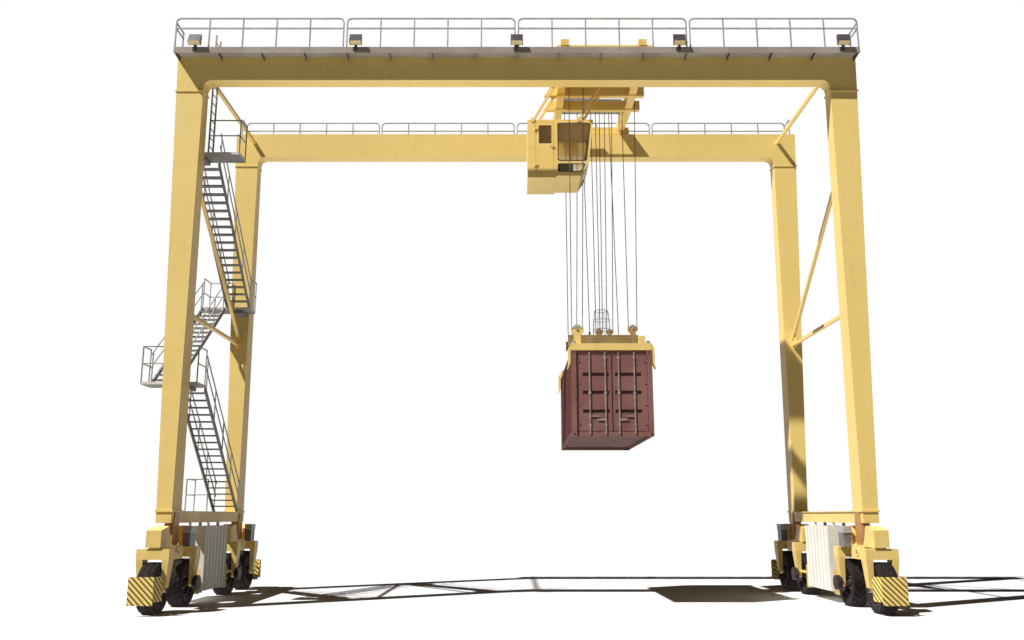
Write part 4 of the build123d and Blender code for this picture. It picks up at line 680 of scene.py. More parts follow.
@dataclass(frozen=True)
class Palette:
    """Every finish of the crane."""

    crane: Finish = Paint("crane_yellow", colour=(0.83, 0.60, 0.19), faded=(0.85, 0.62, 0.205),
                          grime=(0.40, 0.26, 0.09),
                          soil=0.10, runs=0.10, seams=0.05)
    crane_small: Finish = Paint("crane_yellow_small_parts", colour=(0.84, 0.60, 0.18),
                                faded=(0.86, 0.63, 0.22),
                                grime=(0.36, 0.21, 0.07), soil=0.16, runs=0.14, chips=0.2, patch=2.0)
    # Deeper, darker orange than the crane paint: partly the posts' own tone, partly painted shade and yellow
    # bounce light from the parts around.
    post: Finish = Paint("post_orange", colour=(0.40, 0.18, 0.055), faded=(0.48, 0.24, 0.08),
                         grime=(0.18, 0.10, 0.05),
                         soil=0.25, runs=0.2, patch=1.5)
    deck: Finish = Paint("walkway_grey", colour=(0.30, 0.25, 0.20), faded=(0.38, 0.33, 0.28),
                         grime=(0.15, 0.12, 0.09),
                         soil=0.3, runs=0.3, chips=0.2, roughness=0.6, patch=0.9, tread=True)
    handrail: Finish = Paint("handrail_grey", colour=(0.32, 0.31, 0.30), faded=(0.42, 0.41, 0.40), soil=0.3,
                             roughness=0.45, patch=3.0)
    bracket: Finish = Paint("bracket_dark", colour=(0.10, 0.075, 0.05), faded=(0.16, 0.12, 0.08), soil=0.2,
                            patch=3.0)
    landing: Finish = Paint("landing_edge", colour=(0.56, 0.53, 0.49), faded=(0.64, 0.61, 0.57),
                            grime=(0.25, 0.22, 0.18),
                            soil=0.3, runs=0.3, roughness=0.55, patch=2.0)
    stair: Finish = Paint("stair_grey", colour=(0.14, 0.13, 0.125), faded=(0.22, 0.21, 0.20),
                          grime=(0.07, 0.06, 0.05),
                          soil=0.4, roughness=0.6, patch=2.5, tread=True)
    rail: Finish = Paint("rail_steel", colour=(0.40, 0.37, 0.34), faded=(0.55, 0.53, 0.50),
                         grime=(0.17, 0.11, 0.08),
                         soil=0.5, roughness=0.35, metallic=0.8, patch=4.0)
    house: Finish = Paint("machine_house_cream", colour=(0.70, 0.67, 0.58), faded=(0.76, 0.74, 0.67),
                          grime=(0.36, 0.32, 0.25), soil=0.25, runs=0.35, roughness=0.55, patch=1.2)
    motor: Finish = Paint("motor_grey", colour=(0.36, 0.35, 0.34), faded=(0.44, 0.43, 0.42), soil=0.3,
                          patch=3.0)
    motor_dark: Finish = Paint("motor_dark", colour=(0.13, 0.12, 0.115), faded=(0.18, 0.17, 0.16), soil=0.3,
                               patch=3.0)
    machine: Finish = Paint("hoist_grey", colour=(0.23, 0.25, 0.26), faded=(0.31, 0.33, 0.34), soil=0.35,
                            patch=3.0)
    lamp: Finish = Paint("lamp_body", colour=(0.030, 0.019, 0.022), faded=(0.055, 0.04, 0.043), soil=0.1,
                         roughness=0.4,
                         patch=6.0)
    lens: Finish = Lens("lamp_glass", colour=(0.80, 0.62, 0.30))
    tyre: Finish = Dusty("tyre_rubber", base=(0.010, 0.006, 0.006), dust=(0.07, 0.052, 0.045), amount=0.15)
    sidewall: Finish = Dusty("tyre_sidewall", base=(0.018, 0.012, 0.012), dust=(0.10, 0.075, 0.07),
                             amount=0.28)
    rim: Finish = Dusty("wheel_rim", base=(0.045, 0.034, 0.033), dust=(0.18, 0.15, 0.13), amount=0.35,
                        roughness=0.5)
    drum: Finish = Dusty("wheel_drive", base=(0.028, 0.018, 0.018), dust=(0.14, 0.11, 0.09), amount=0.3,
                         roughness=0.5)
    warning: Finish = WarningPaint("guard_bands")
    window: Finish = Glass("cab_window")
    seal: Finish = Dusty("window_rubber", base=(0.03, 0.028, 0.028), amount=0.12, roughness=0.6)
    cover: Finish = Cloth("seat_cloth")
    plastic: Finish = Dusty("cab_plastic", base=(0.06, 0.06, 0.065), amount=0.08, roughness=0.5, grain=0.0004)
    rope: Finish = Paint("rope_steel", colour=(0.060, 0.056, 0.054), faded=(0.12, 0.115, 0.11),
                         grime=(0.03, 0.027, 0.025),
                         soil=0.5, roughness=0.5, metallic=0.6, patch=6.0)
    sheave: Finish = Paint("sheave_steel", colour=(0.15, 0.12, 0.11), faded=(0.26, 0.22, 0.20),
                           grime=(0.06, 0.04, 0.03),
                           soil=0.5, roughness=0.45, metallic=0.6, patch=6.0)
    bolt: Finish = Paint("bolt_steel", colour=(0.50, 0.46, 0.38), faded=(0.62, 0.58, 0.50),
                         grime=(0.20, 0.13, 0.08),
                         soil=0.5, roughness=0.4, metallic=0.7, patch=9.0)
    zinc: Finish = Paint("zinc_steel", colour=(0.27, 0.19, 0.175), faded=(0.38, 0.31, 0.29),
                         grime=(0.13, 0.08, 0.07),
                         soil=0.4, roughness=0.5, metallic=0.3, patch=6.0)
    box: Finish = Paint("container_red", colour=(0.22, 0.096, 0.080), faded=(0.26, 0.122, 0.105),
                        grime=(0.09, 0.045, 0.035), chip=(0.10, 0.035, 0.02), soil=0.3, runs=0.3, chips=0.3,
                        roughness=0.55, patch=0.9, gloss=0.15)
    # The container's long sides, far darker than its ends: painted shade.
    box_side: Finish = Paint("container_side_red", colour=(0.074, 0.016, 0.012), faded=(0.092, 0.023, 0.018),
                             grime=(0.06, 0.022, 0.016), chip=(0.08, 0.02, 0.012), soil=0.3, runs=0.35,
                             chips=0.3,
                             roughness=0.6, patch=0.8, gloss=0.1)
    # The container's underside, darker than its ends: painted shade.
    box_under: Finish = Paint("container_under_red", colour=(0.095, 0.048, 0.040), faded=(0.12, 0.065, 0.055),
                              grime=(0.05, 0.03, 0.025), soil=0.5, runs=0.0, chips=0.2, roughness=0.7,
                              patch=0.8, gloss=0.1)
    box_seal: Finish = Dusty("door_seal_rubber", base=(0.022, 0.010, 0.009), amount=0.1, roughness=0.7)
    # Crane yellow darkened to olive brown: painted shade on the spreader's head frame, with some grime over
    # it.
    head_frame: Finish = Paint("greased_yellow", colour=(0.26, 0.185, 0.07), faded=(0.34, 0.25, 0.10),
                               grime=(0.09, 0.06, 0.03), soil=0.4, runs=0.3, roughness=0.5, patch=2.5)
    cheek: Finish = Paint("block_cheek_brown", colour=(0.42, 0.26, 0.09), faded=(0.55, 0.37, 0.15),
                          grime=(0.12, 0.07, 0.03), soil=0.4, runs=0.3, roughness=0.45, patch=3.0)
    room: Finish = Paint("cab_lining", colour=(0.52, 0.36, 0.17), faded=(0.58, 0.42, 0.22),
                         grime=(0.25, 0.16, 0.08),
                         soil=0.1, runs=0.0, chips=0.0, roughness=0.7, patch=1.5, depth=0.0006)
    # Near black red for the door bands and casting holes: painted shadow.
    box_shadow: Finish = Paint("container_red_deep", colour=(0.055, 0.016, 0.013), faded=(0.075, 0.024, 0.02),
                               grime=(0.03, 0.012, 0.01), soil=0.3, roughness=0.6, patch=1.5)


PALETTE = Palette()


# Shapes


@dataclass
class Shape:
    """Collects the faces of one new piece, in metres in the row frame."""

    name: str
    points: list[Point] = field(default_factory=list)
    faces: list[tuple[int, ...]] = field(default_factory=list)
    finishes: list[int] = field(default_factory=list)

    def add(self, points: list[Point], faces: list[tuple[int, ...]], finish: int = 0) -> None:
        """Add loose faces.

        Args:
            points: Corners.
            faces: Corner numbers of each face.
            finish: Which of the piece's finishes they take.
        """
        base = len(self.points)
        self.points.extend(tuple(p) for p in points)
        self.faces.extend(tuple(base + i for i in f) for f in faces)
        self.finishes.extend([finish] * len(faces))

    def block(self, low: Point, high: Point, finish: int = 0, chamfer: float = 0.0) -> None:
        """Add a block whose upright edges may be cut off.

        Args:
            low: Lowest corner.
            high: Highest corner.
            finish: Which of the piece's finishes it takes.
            chamfer: Width of the cut along X and Y.
        """
        (x0, y0, z0), (x1, y1, z1) = low, high
        c = chamfer
        if c:
            ring = [(x0 + c, y0), (x1 - c, y0), (x1, y0 + c), (x1, y1 - c), (x1 - c, y1), (x0 + c, y1),
                    (x0, y1 - c),
                    (x0, y0 + c)]
        else:
            ring = [(x0, y0), (x1, y0), (x1, y1), (x0, y1)]
        self.prism([(x, y, z0) for x, y in ring], (0.0, 0.0, z1 - z0), finish)

    def prism(self, outline: list[Point], way: Point, finish: int = 0) -> None:
        """Add a flat outline drawn out along a way.

        Args:
            outline: Corners of the outline.
            way: Direction and length of the draw.
            finish: Which of the piece's finishes it takes.
        """
        count = len(outline)
        far = [tuple(a + b for a, b in zip(p, way)) for p in outline]
        sides = [(i, (i + 1) % count, count + (i + 1) % count, count + i) for i in range(count)]
        caps = [tuple(range(count))[::-1], tuple(range(count, 2 * count))]
        self.add(list(outline) + far, sides + caps, finish)

    def frame_ring(self, outer: list[Point], inner: list[Point], way: Point, finish: int = 0) -> None:
        """Add a flat ring between two outlines, drawn out along a way.

        Args:
            outer: Corners of the outer outline.
            inner: Corners of the inner outline, as many.
            way: Direction and length of the draw.
            finish: Which of the piece's finishes it takes.
        """
        count = len(outer)
        rings = [outer, inner]
        points = [p for ring in rings for p in ring]
        points += [tuple(a + b for a, b in zip(p, way)) for p in points]
        faces = []
        for i in range(count):
            j = (i + 1) % count
            faces.append((i, j, count + j, count + i))
            faces.append((2 * count + i, 3 * count + i, 3 * count + j, 2 * count + j))
            faces.append((i, 2 * count + i, 2 * count + j, j))
            faces.append((count + i, count + j, 3 * count + j, 3 * count + i))
        self.add(points, faces, finish)

    def rod(self, start: Point, end: Point, radius: float, sides: int = 12, finish: int = 0) -> None:
        """Add a round or many sided rod between two points.

        Args:
            start: Middle of one end.
            end: Middle of the other end.
            radius: Radius to the corners.
            sides: Number of sides.
            finish: Which of the piece's finishes it takes.
        """
        self.tube([start, end], radius, sides, finish)

    def tube(self, path: list[Point], radius: float, sides: int = 8, finish: int = 0) -> None:
        """Add a closed tube along a path.

        Args:
            path: Points of its middle line.
            radius: Radius to the corners.
            sides: Number of sides.
            finish: Which of the piece's finishes it takes.
        """
        line = [Vector(p) for p in path]
        aside = None
        points: list[Point] = []
        for number, here in enumerate(line):
            before, after = line[max(number - 1, 0)], line[min(number + 1, len(line) - 1)]
            way = (after - before).normalized()
            if aside is None:
                aside = way.orthogonal().normalized()
            aside = (aside - way * aside.dot(way)).normalized()
            up = way.cross(aside)
            for i in range(sides):
                a = math.tau * i / sides
                points.append(tuple(here + (aside * math.cos(a) + up * math.sin(a)) * radius))
        faces = []
        for ring in range(len(line) - 1):
            for i in range(sides):
                j = (i + 1) % sides
                faces.append((ring * sides + i, ring * sides + j, (ring + 1) * sides + j,
                              (ring + 1) * sides + i))
        last = (len(line) - 1) * sides
        faces += [tuple(range(sides))[::-1], tuple(range(last, last + sides))]
        self.add(points, faces, finish)

    def lathe(self, profile: list[tuple[float, float]], centre: Point, axis: Axis, steps: int = 48,
              finish: int = 0,
              closed: bool = True) -> None:
        """Add a turned ring or disc.

        Args:
            profile: Way along the axis and radius of each point.
            centre: Middle of the turned part.
            axis: Axis it turns about.
            steps: Number of steps round.
            finish: Which of the piece's finishes it takes.
            closed: Whether the last point joins the first.
        """
        count = len(profile)
        points = [axis.place(centre, way, radius, math.tau * s / steps) for s in range(steps) for way,
                  radius in profile]
        faces = []
        for s in range(steps):
            n = (s + 1) % steps
            for i in range(count if closed else count - 1):
                j = (i + 1) % count
                faces.append((s * count + i, s * count + j, n * count + j, n * count + i))
        self.add(points, faces, finish)

    def bolt(self, seat: Point, way: Point, radius: float = 0.016, finish: int = 0) -> None:
        """Add a six sided bolt head on a washer.

        Args:
            seat: Where the washer touches the plate.
            way: Direction that the head stands out.
            radius: Radius to the corners of the head.
            finish: Which of the piece's finishes it takes.
        """
        base, out = Vector(seat), Vector(way).normalized()
        self.rod(tuple(base), tuple(base + out * radius * 0.25), radius * 1.35, 10, finish)
        self.rod(tuple(base), tuple(base + out * radius * 1.1), radius, 6, finish)

    def piece(self, body: str, finishes: list[Finish], smooth: float | None = None,
              origin: Point = (0.0, 0.0, 0.0)) -> bpy.types.Object:
        """Turn the faces into an object that rides on a body.

        Args:
            body: Name of the frame's body.
            finishes: The finishes that the faces' numbers stand for.
            smooth: Greatest angle in degrees that is shaded round, or none.
            origin: Where the object's own zero goes.

        Returns:
            The new object.
        """
        mesh = bpy.data.meshes.new(self.name)
        shift = Vector(origin)
        mesh.from_pydata([tuple(Vector(p) - shift) for p in self.points], [], self.faces)
        mesh.polygons.foreach_set("material_index", self.finishes)
        for finish in finishes:
            mesh.materials.append(finish.material())
        work = bmesh.new()
        work.from_mesh(mesh)
        bmesh.ops.recalc_face_normals(work, faces=work.faces)
        work.to_mesh(mesh)
        work.free()
        if smooth is not None:
            mesh.polygons.foreach_set("use_smooth", [True] * len(mesh.polygons))
            mesh.set_sharp_from_angle(angle=math.radians(smooth))
        return place_piece(mesh, self.name, body, origin)


def place_piece(mesh: bpy.types.Mesh, name: str, body: str,
                origin: Point = (0.0, 0.0, 0.0)) -> bpy.types.Object:
    """Put a mesh into the scene on a body.

    Args:
        mesh: The finished mesh.
        name: Name of the piece.
        body: Name of the frame's body.
        origin: Where the mesh's zero goes.

    Returns:
        The new object.
    """
    made = bpy.data.objects.new(name, mesh)
    bpy.context.scene.collection.objects.link(made)
    made.location = origin
    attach(made, body)
    LOG.info("%s rides on %s", name, body)
    return made


def dress(node: str, *finishes: Finish) -> bpy.types.Object:
    """Give a part of the frame its finishes, the first of them all over.

    Args:
        node: Name of the frame's part.
        *finishes: The finishes, in the order of their numbers.

    Returns:
        The part's object.
    """
    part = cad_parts[node]
    part.data.materials.clear()
    for finish in finishes:
        part.data.materials.append(finish.material())
    part.data.polygons.foreach_set("material_index", [0] * len(part.data.polygons))
    return part


def repaint(part: bpy.types.Object, number: int, test: Callable[[Vector, Vector], bool]) -> int:
    """Give some faces of a part another of its finishes.

    Args:
        part: The part's object.
        number: Number of the finish.
        test: Says yes or no from a face's centre and normal.

    Returns:
        How many faces were changed.
    """
    found = [face for face in part.data.polygons if test(face.center, face.normal)]
    for face in found:
        face.material_index = number
    return len(found)


def middle(node: str) -> Vector:
    """Middle of a part's box."""
    low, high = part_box(node)
    return (low + high) / 2


# Sub-assemblies


@dataclass
class Portal:
    """Girders, legs, sills, braces and hanging posts, with their bolts."""

    splice: float = 15.74
    splice_plate: float = 0.025
    foot: float = 2.74
    foot_plate: float = 0.028
    head_size: tuple[float, float] = (0.4225, 0.25)
    head_x: float = 10.3375
    foot_size: tuple[float, float] = (0.2225, 0.395)
    foot_x: float = 10.0725
    wheelbase: float = 3.2
    pitch: float = 0.13
    clip_pitch: float = 0.78
    rail_reach: float = 9.7
    girder_top: float = 17.05

    def dress(self) -> None:
        """Give the frame's portal parts their paint."""
        for end in End:
            dress(f"girder_{end.word}", PALETTE.crane)
            for side in Side:
                dress(f"leg_{end.word}_{side.word}", PALETTE.crane)
        for side in Side:
            dress(f"sill_{side.word}", PALETTE.crane)
            dress(f"brace_{side.word}", PALETTE.crane_small)
        dress("tie_bars", PALETTE.crane_small)
        # The pivot posts take the darker orange with its painted shade.
        dress("pivot_posts", PALETTE.post)
        dress("trolley_rails", PALETTE.rail)

    def ring(self, shape: Shape, centre: tuple[float, float], size: tuple[float, float],
             heights: dict[float, float]) -> None:
        """Set bolts round a flange.

        Args:
            shape: Piece that takes the bolts.
            centre: X and Y of the flange.
            size: Half width and half depth of the row of bolts.
            heights: Height of each seat and the way its heads stand.
        """
        for number, half in enumerate(size):
            count = max(2, round(2 * half / self.pitch))
            for i in range(count):
                along = -half + (2 * half) * (i + 0.5) / count
                for sign in (-1, 1):
                    offset = (along, sign * size[1]) if number == 0 else (sign * size[0], along)
                    for z, way in heights.items():
                        shape.bolt((centre[0] + offset[0], centre[1] + offset[1], z), (0, 0, way), 0.011)

    def build(self) -> None:
        """Build the bolts of the flanges and the clips of the rails."""
        for end in End:
            for side in Side:
                bolts = Shape(f"flange_bolts_{end.word}_{side.word}")
                x, y = side.value * self.head_x + SPAN_MIDDLE, end.value * self.wheelbase
                seats = {self.splice + self.splice_plate: 1.0, self.splice - self.splice_plate: -1.0}
                self.ring(bolts, (x, y), (self.head_size[0] + 0.015, self.head_size[1] + 0.015), seats)
                x = side.value * self.foot_x + SPAN_MIDDLE
                seats = {self.foot + self.foot_plate: 1.0, self.foot - self.foot_plate: -1.0}
                self.ring(bolts, (x, y), (self.foot_size[0] + 0.016, self.foot_size[1] + 0.016), seats)
                bolts.piece("frame", [PALETTE.bolt])
        clips = Shape("rail_clips")
        count = int(2 * self.rail_reach / self.clip_pitch)
        for end in End:
            for number in range(count + 1):
                x = SPAN_MIDDLE - self.rail_reach + number * self.clip_pitch
                for sign in (-1, 1):
                    y = end.value * self.wheelbase + sign * 0.078
                    clips.block((x - 0.03, y - 0.032, self.girder_top),
                                (x + 0.03, y + 0.032, self.girder_top + 0.016),
                                0, 0.01)
                    clips.bolt((x, y, self.girder_top + 0.016), (0, 0, 1), 0.012)
        clips.piece("frame", [PALETTE.bolt])


@dataclass
class Walkways:
    """The two walkways on the girders, their hand rails and the lamps."""

    lamp_x: tuple[float, ...] = (-10.05, -5.03, 0.0, 5.08, 10.2)
    lamp_line: float = -4.0
    deck_top: float = 16.92
    bracket_reach: float = 10.735

    def dress(self) -> None:
        """Give decks, rails and lamps their finishes."""
        for end in End:
            walkway = dress(f"walkway_{end.word}", PALETTE.deck, PALETTE.bracket)
            repaint(walkway, 1, lambda c, n: abs(n.x) > 0.9 and abs(c.x - SPAN_MIDDLE) < self.bracket_reach)
            dress(f"railing_{end.word}", PALETTE.handrail)
        lamps = dress("floodlights", PALETTE.lamp, PALETTE.lens)
        repaint(lamps, 1, lambda c, n: n.z < -0.5 and c.y < self.lamp_line - 0.08)

    def build(self) -> None:
        """Build the lamps' cooling ribs, lens frames and clamps."""
        fins = Shape("lamp_fittings")
        for x in self.lamp_x:
            x += SPAN_MIDDLE
            y, z = self.lamp_line, self.deck_top
            for number in range(9):
                fx = x - 0.16 + 0.04 * number
                outline = [(fx, y - 0.113, z + 0.412), (fx, y - 0.045, z + 0.384), (fx, y - 0.050, z + 0.352),
                           (fx, y - 0.118, z + 0.380)]
                fins.prism([tuple(p) for p in outline], (0.006, 0.0, 0.0))
            low, near = (y - 0.058, z + 0.058), (y - 0.229, z + 0.1285)
            for a, b in ((-0.192, -0.172), (0.172, 0.192)):
                fins.prism([(x + a, *low), (x + b, *low), (x + b, *near), (x + a, *near)],
                           (0.0, -0.004, -0.008))
            for spot in ((-0.195, 1), (0.195, -1)):
                fins.rod((x + spot[0], y - 0.1, z + 0.24), (x + spot[0] + spot[1] * 0.02, y - 0.1, z + 0.24),
                         0.03, 10)
        fins.piece("frame", [PALETTE.lamp])


@dataclass
class Stairs:
    """Stairs, landings and the ladder on the left side."""

    landing_tops: tuple[float, ...] = (6.56, 9.98, 13.90)
    slab: float = 0.08

    def dress(self) -> None:
        """Give the flights and landings their paint, with paler hand rails."""
        for name in ("stair_lower", "stair_middle", "stair_upper", "landings"):
            part = dress(name, PALETTE.stair, PALETTE.handrail, PALETTE.landing)
            self.pale_rails(part)
            if name == "landings":
                repaint(part, 2, lambda c, n: abs(n.z) < 0.3 and self.on_slab(c.z))
        dress("girder_ladder", PALETTE.handrail)

    def on_slab(self, height: float) -> bool:
        """Whether a height lies within a landing's slab."""
        return any(top - self.slab < height < top for top in self.landing_tops)

    def pale_rails(self, part: bpy.types.Object) -> None:
        """Paint each slender face of a part as hand rail.

        Args:
            part: The part's object.
        """
        mesh = part.data
        for face in mesh.polygons:
            corners = [mesh.vertices[i].co for i in face.vertices]
            edges = sorted((corners[i] - corners[i - 1]).length for i in range(len(corners)))
            if edges[0] < 0.036 and not abs(edges[0] - 0.2) < 0.01:
                face.material_index = 1

    def build(self) -> None:
        """Build two round collars on the hand rails of the lower flight."""
        joints = Shape("stair_rail_joints")
        low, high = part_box("stair_lower")
        for x in (low.x + 0.0225, high.x - 0.0225):
            for y, z in ((2.25 - 0.03 * 4.28, 2.74 + 0.03 * 3.82),):
                joints.lathe([(-0.02, 0.018), (-0.02, 0.034), (0.02, 0.034), (0.02, 0.018)], (x, y, z + 0.93),
                             Axis.Z, 16)
        joints.piece("frame", [PALETTE.handrail], 40)


@dataclass
class Wheel:
    """One tyre on its rim, drawn about its own hub."""

    radius: float = 0.685
    half_width: float = 0.235
    ground: float = 0.6729
    steps: int = 132
    lug_steps: int = 6
    groove: float = 0.020
    nut_circle: float = 0.165
    meshes: dict[str, bpy.types.Mesh] = field(default_factory=dict)

    def tyre(self) -> bpy.types.Mesh:
        """The tyre's mesh, made once.

        Returns:
            A mesh about the hub, flat where it meets the ground.
        """
        if "tyre" in self.meshes:
            return self.meshes["tyre"]
        wall = [(0.150, 0.392), (0.158, 0.425), (0.185, 0.438), (0.197, 0.452), (0.216, 0.480),
                (0.221, 0.486),
                (0.231, 0.530), (0.2345, 0.575), (0.231, 0.612), (0.236, 0.618), (0.230, 0.640),
                (0.222, 0.655)]
        across = [0.222 - 0.0222 * i for i in range(1, 20)]
        profile = wall + [(x, 0.0) for x in across] + [(-x, r) for x, r in reversed(wall)]
        points, count = [], len(profile)
        for step in range(self.steps):
            angle = math.tau * step / self.steps
            for x, radius in profile:
                radius = radius or self.tread(x, step)
                y, z = radius * math.cos(angle), radius * math.sin(angle)
                points.append((x, y, max(z, -self.ground)))
        shape = Shape("tyre")
        faces, finishes = [], []
        for step in range(self.steps):
            after = (step + 1) % self.steps
            for i in range(count - 1):
                faces.append((step * count + i, step * count + i + 1, after * count + i + 1,
                              after * count + i))
                finishes.append(1 if i < 10 or i > count - 12 else 0)
        shape.add(points, faces)
        shape.finishes = finishes
        self.meshes["tyre"] = self.mesh_of(shape, [PALETTE.tyre, PALETTE.sidewall], 38)
        return self.meshes["tyre"]

    def tread(self, x: float, step: int) -> float:
        """Radius of the tread at one point.

        Args:
            x: Way from the tyre's middle.
            step: Number of the step round it.

        Returns:
            The radius, less in a groove.
        """
        crown = self.radius - 0.018 * (x / self.half_width) ** 4
        slant = round(abs(x) / 0.0222 * 0.55)
        half = self.lug_steps // 2 if x > 0 else 0
        in_groove = (step + slant + half) % self.lug_steps < 2 and abs(x) > 0.02
        return crown - (self.groove if in_groove or 0.085 < abs(x) < 0.095 else 0.0)

    def rim(self) -> bpy.types.Mesh:
        """The rim's mesh with hub and nuts, made once.

        Returns:
            A mesh about the hub.
        """
        if "rim" in self.meshes:
            return self.meshes["rim"]
        shape = Shape("rim")
        half = [(0.151, 0.404), (0.160, 0.400), (0.158, 0.386), (0.140, 0.378), (0.120, 0.352),
                (0.060, 0.345),
                (0.045, 0.335), (0.035, 0.300), (0.055, 0.225), (0.058, 0.205), (0.075, 0.200),
                (0.078, 0.130),
                (0.150, 0.122), (0.200, 0.112), (0.236, 0.100), (0.240, 0.080), (0.240, 0.058)]
        profile = half + [(-x, r) for x, r in reversed(half)]
        shape.lathe(profile, (0.0, 0.0, 0.0), Axis.X, 72)
        for sign in (-1, 1):
            for number in range(10):
                angle = math.tau * number / 10
                spot = Axis.X.place((0.0, 0.0, 0.0), sign * 0.076, self.nut_circle, angle)
                shape.bolt(spot, (sign, 0, 0), 0.018, 1)
            for number in range(8):
                angle = math.tau * (number + 0.5) / 8
                spot = Axis.X.place((0.0, 0.0, 0.0), sign * 0.034, 0.268, angle)
                shape.rod(spot, (spot[0] + sign * 0.012, spot[1], spot[2]), 0.036, 16, 2)
        self.meshes["rim"] = self.mesh_of(shape, [PALETTE.rim, PALETTE.bolt, PALETTE.tyre], 32)
        return self.meshes["rim"]

    def mesh_of(self, shape: Shape, finishes: list[Finish], smooth: float) -> bpy.types.Mesh:
        """Make a mesh that several objects share.

        Args:
            shape: The collected faces.
            finishes: The finishes that the faces' numbers stand for.
            smooth: Greatest angle in degrees that is shaded round.

        Returns:
            The mesh.
        """
        mesh = bpy.data.meshes.new(f"wheel_{shape.name}")
        mesh.from_pydata(shape.points, [], shape.faces)
        mesh.polygons.foreach_set("material_index", shape.finishes)
        for finish in finishes:
            mesh.materials.append(finish.material())
        work = bmesh.new()
        work.from_mesh(mesh)
        bmesh.ops.recalc_face_normals(work, faces=work.faces)
        work.to_mesh(mesh)
        work.free()
        mesh.polygons.foreach_set("use_smooth", [True] * len(mesh.polygons))
        mesh.set_sharp_from_angle(angle=math.radians(smooth))
        return mesh


@dataclass
class RunningGear:
    """Rocking beams, steering forks with guards, wheels and their motors."""

    track: float = 9.96
    beam_half: float = 0.205
    pivot_height: float = 1.59
    wheelbase: float = 3.2
    guard_x: float = 0.27
    guard_z: tuple[float, float] = (0.35, 0.94)
    motor_split: float = 2.11
    hub: float = 0.673
    wheel: Wheel = field(default_factory=Wheel)

    def dress(self) -> None:
        """Give beams and forks their paint, and guards their warning bands."""
        for end in End:
            for side in Side:
                beam = dress(f"wheel_beam_{end.word}_{side.word}", PALETTE.crane_small, PALETTE.motor,
                             PALETTE.motor_dark)
                edge = self.track - self.beam_half - 0.001
                repaint(beam, 2, lambda c, n: abs(c.x - SPAN_MIDDLE) < edge)
                repaint(beam, 1, lambda c, n: abs(c.x - SPAN_MIDDLE) < edge and c.z > self.motor_split)
                for place in Place:
                    self.dress_fork(end, side, place)

    def dress_fork(self, end: End, side: Side, place: Place) -> None:
        """Paint one fork, its guard and its drive.

        Args:
            end: Portal it stands under.
            side: Leg it stands under.
            place: Wheel of the beam it holds.
        """
        fork = dress(f"fork_{end.word}_{side.word}_{place.word}", PALETTE.crane_small, PALETTE.warning,
                     PALETTE.drum,
                     PALETTE.rail)
        outward = end.value * place.value
        hub_y = end.value * self.wheelbase + outward * 1.1
        inner = 0.30 if place is Place.INNER else 0.34
        if place is Place.OUTER:
            repaint(fork, 1, lambda c, n: c.z < 1.06 and (c.y - hub_y) * outward > 0.33 and c.z > 0.25)
        repaint(
            fork, 2,
            lambda c, n: side.value * (c.x - SPAN_MIDDLE) < self.track - 0.376 and abs(c.z - self.hub) < 0.25
            and abs(c.y - hub_y) < inner,
        )
        repaint(fork, 3, lambda c, n: abs(c.x - SPAN_MIDDLE - side.value * self.track) < 0.255
                and math.hypot(c.y - hub_y, c.z - self.hub) < 0.075)

    def build(self) -> None:
        """Build wheels, guard bolts and the covers of the rocking pins."""
        for end in End:
            for side in Side:
                self.pin_covers(end, side)
                for place in Place:
                    self.build_wheel(end, side, place)
                    self.guard_bolts(end, side, place)

    def pin_covers(self, end: End, side: Side) -> None:
        """Build the bolted rings over the rocking pin of one beam.

        Args:
            end: Portal the beam stands under.
            side: Leg the beam stands under.
        """
        cover = Shape(f"pin_cover_{end.word}_{side.word}")
        x, y = side.value * self.track + SPAN_MIDDLE, end.value * self.wheelbase
        for sign in (-1, 1):
            face = x + sign * self.beam_half
            profile = [(0.0, 0.066), (0.0, 0.125), (sign * 0.018, 0.125), (sign * 0.024, 0.118),
                       (sign * 0.024, 0.066)]
            cover.lathe(profile, (face, y, self.pivot_height), Axis.X, 40)
            for number in range(6):
                spot = Axis.X.place((face, y, self.pivot_height), sign * 0.024, 0.096, math.tau * number / 6)
                cover.bolt(spot, (sign, 0, 0), 0.010, 1)
        cover.piece(f"beam_{end.word}_{side.word}", [PALETTE.crane_small, PALETTE.bolt], 35)

    def build_wheel(self, end: End, side: Side, place: Place) -> None:
        """Put one tyre and rim in the place of the frame's plain wheel.

        Args:
            end: Portal it stands under.
            side: Leg it stands under.
            place: Wheel of the beam it is.
        """
        tag = f"{end.word}_{side.word}_{place.word}"
        hub = middle(f"wheel_{tag}")
        hub.z = self.hub
        for kind, mesh in (("tyre", self.wheel.tyre()), ("rim", self.wheel.rim())):
            made = place_piece(mesh, f"{kind}_{tag}", f"roll_{tag}", tuple(hub))
            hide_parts(f"wheel_{tag}")

    def guard_bolts(self, end: End, side: Side, place: Place) -> None:
        """Build the bolts that hold a guard plate.

        Args:
            end: Portal it stands under.
            side: Leg it stands under.
            place: Wheel of the beam it shields.
        """
        outward = end.value * place.value
        low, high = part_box(f"fork_{end.word}_{side.word}_{place.word}")
        face = high.y if outward > 0 else low.y
        x = side.value * self.track + SPAN_MIDDLE
        bolts = Shape(f"guard_bolts_{end.word}_{side.word}_{place.word}")
        reach = self.guard_x if place is Place.OUTER else self.guard_x - 0.04
        for dx in (-reach, 0.0, reach):
            for z in self.guard_z:
                bolts.bolt((x + dx, face - outward * 0.014, z), (0, outward, 0), 0.012)
        bolts.piece(f"steer_{end.word}_{side.word}_{place.word}", [PALETTE.bolt])


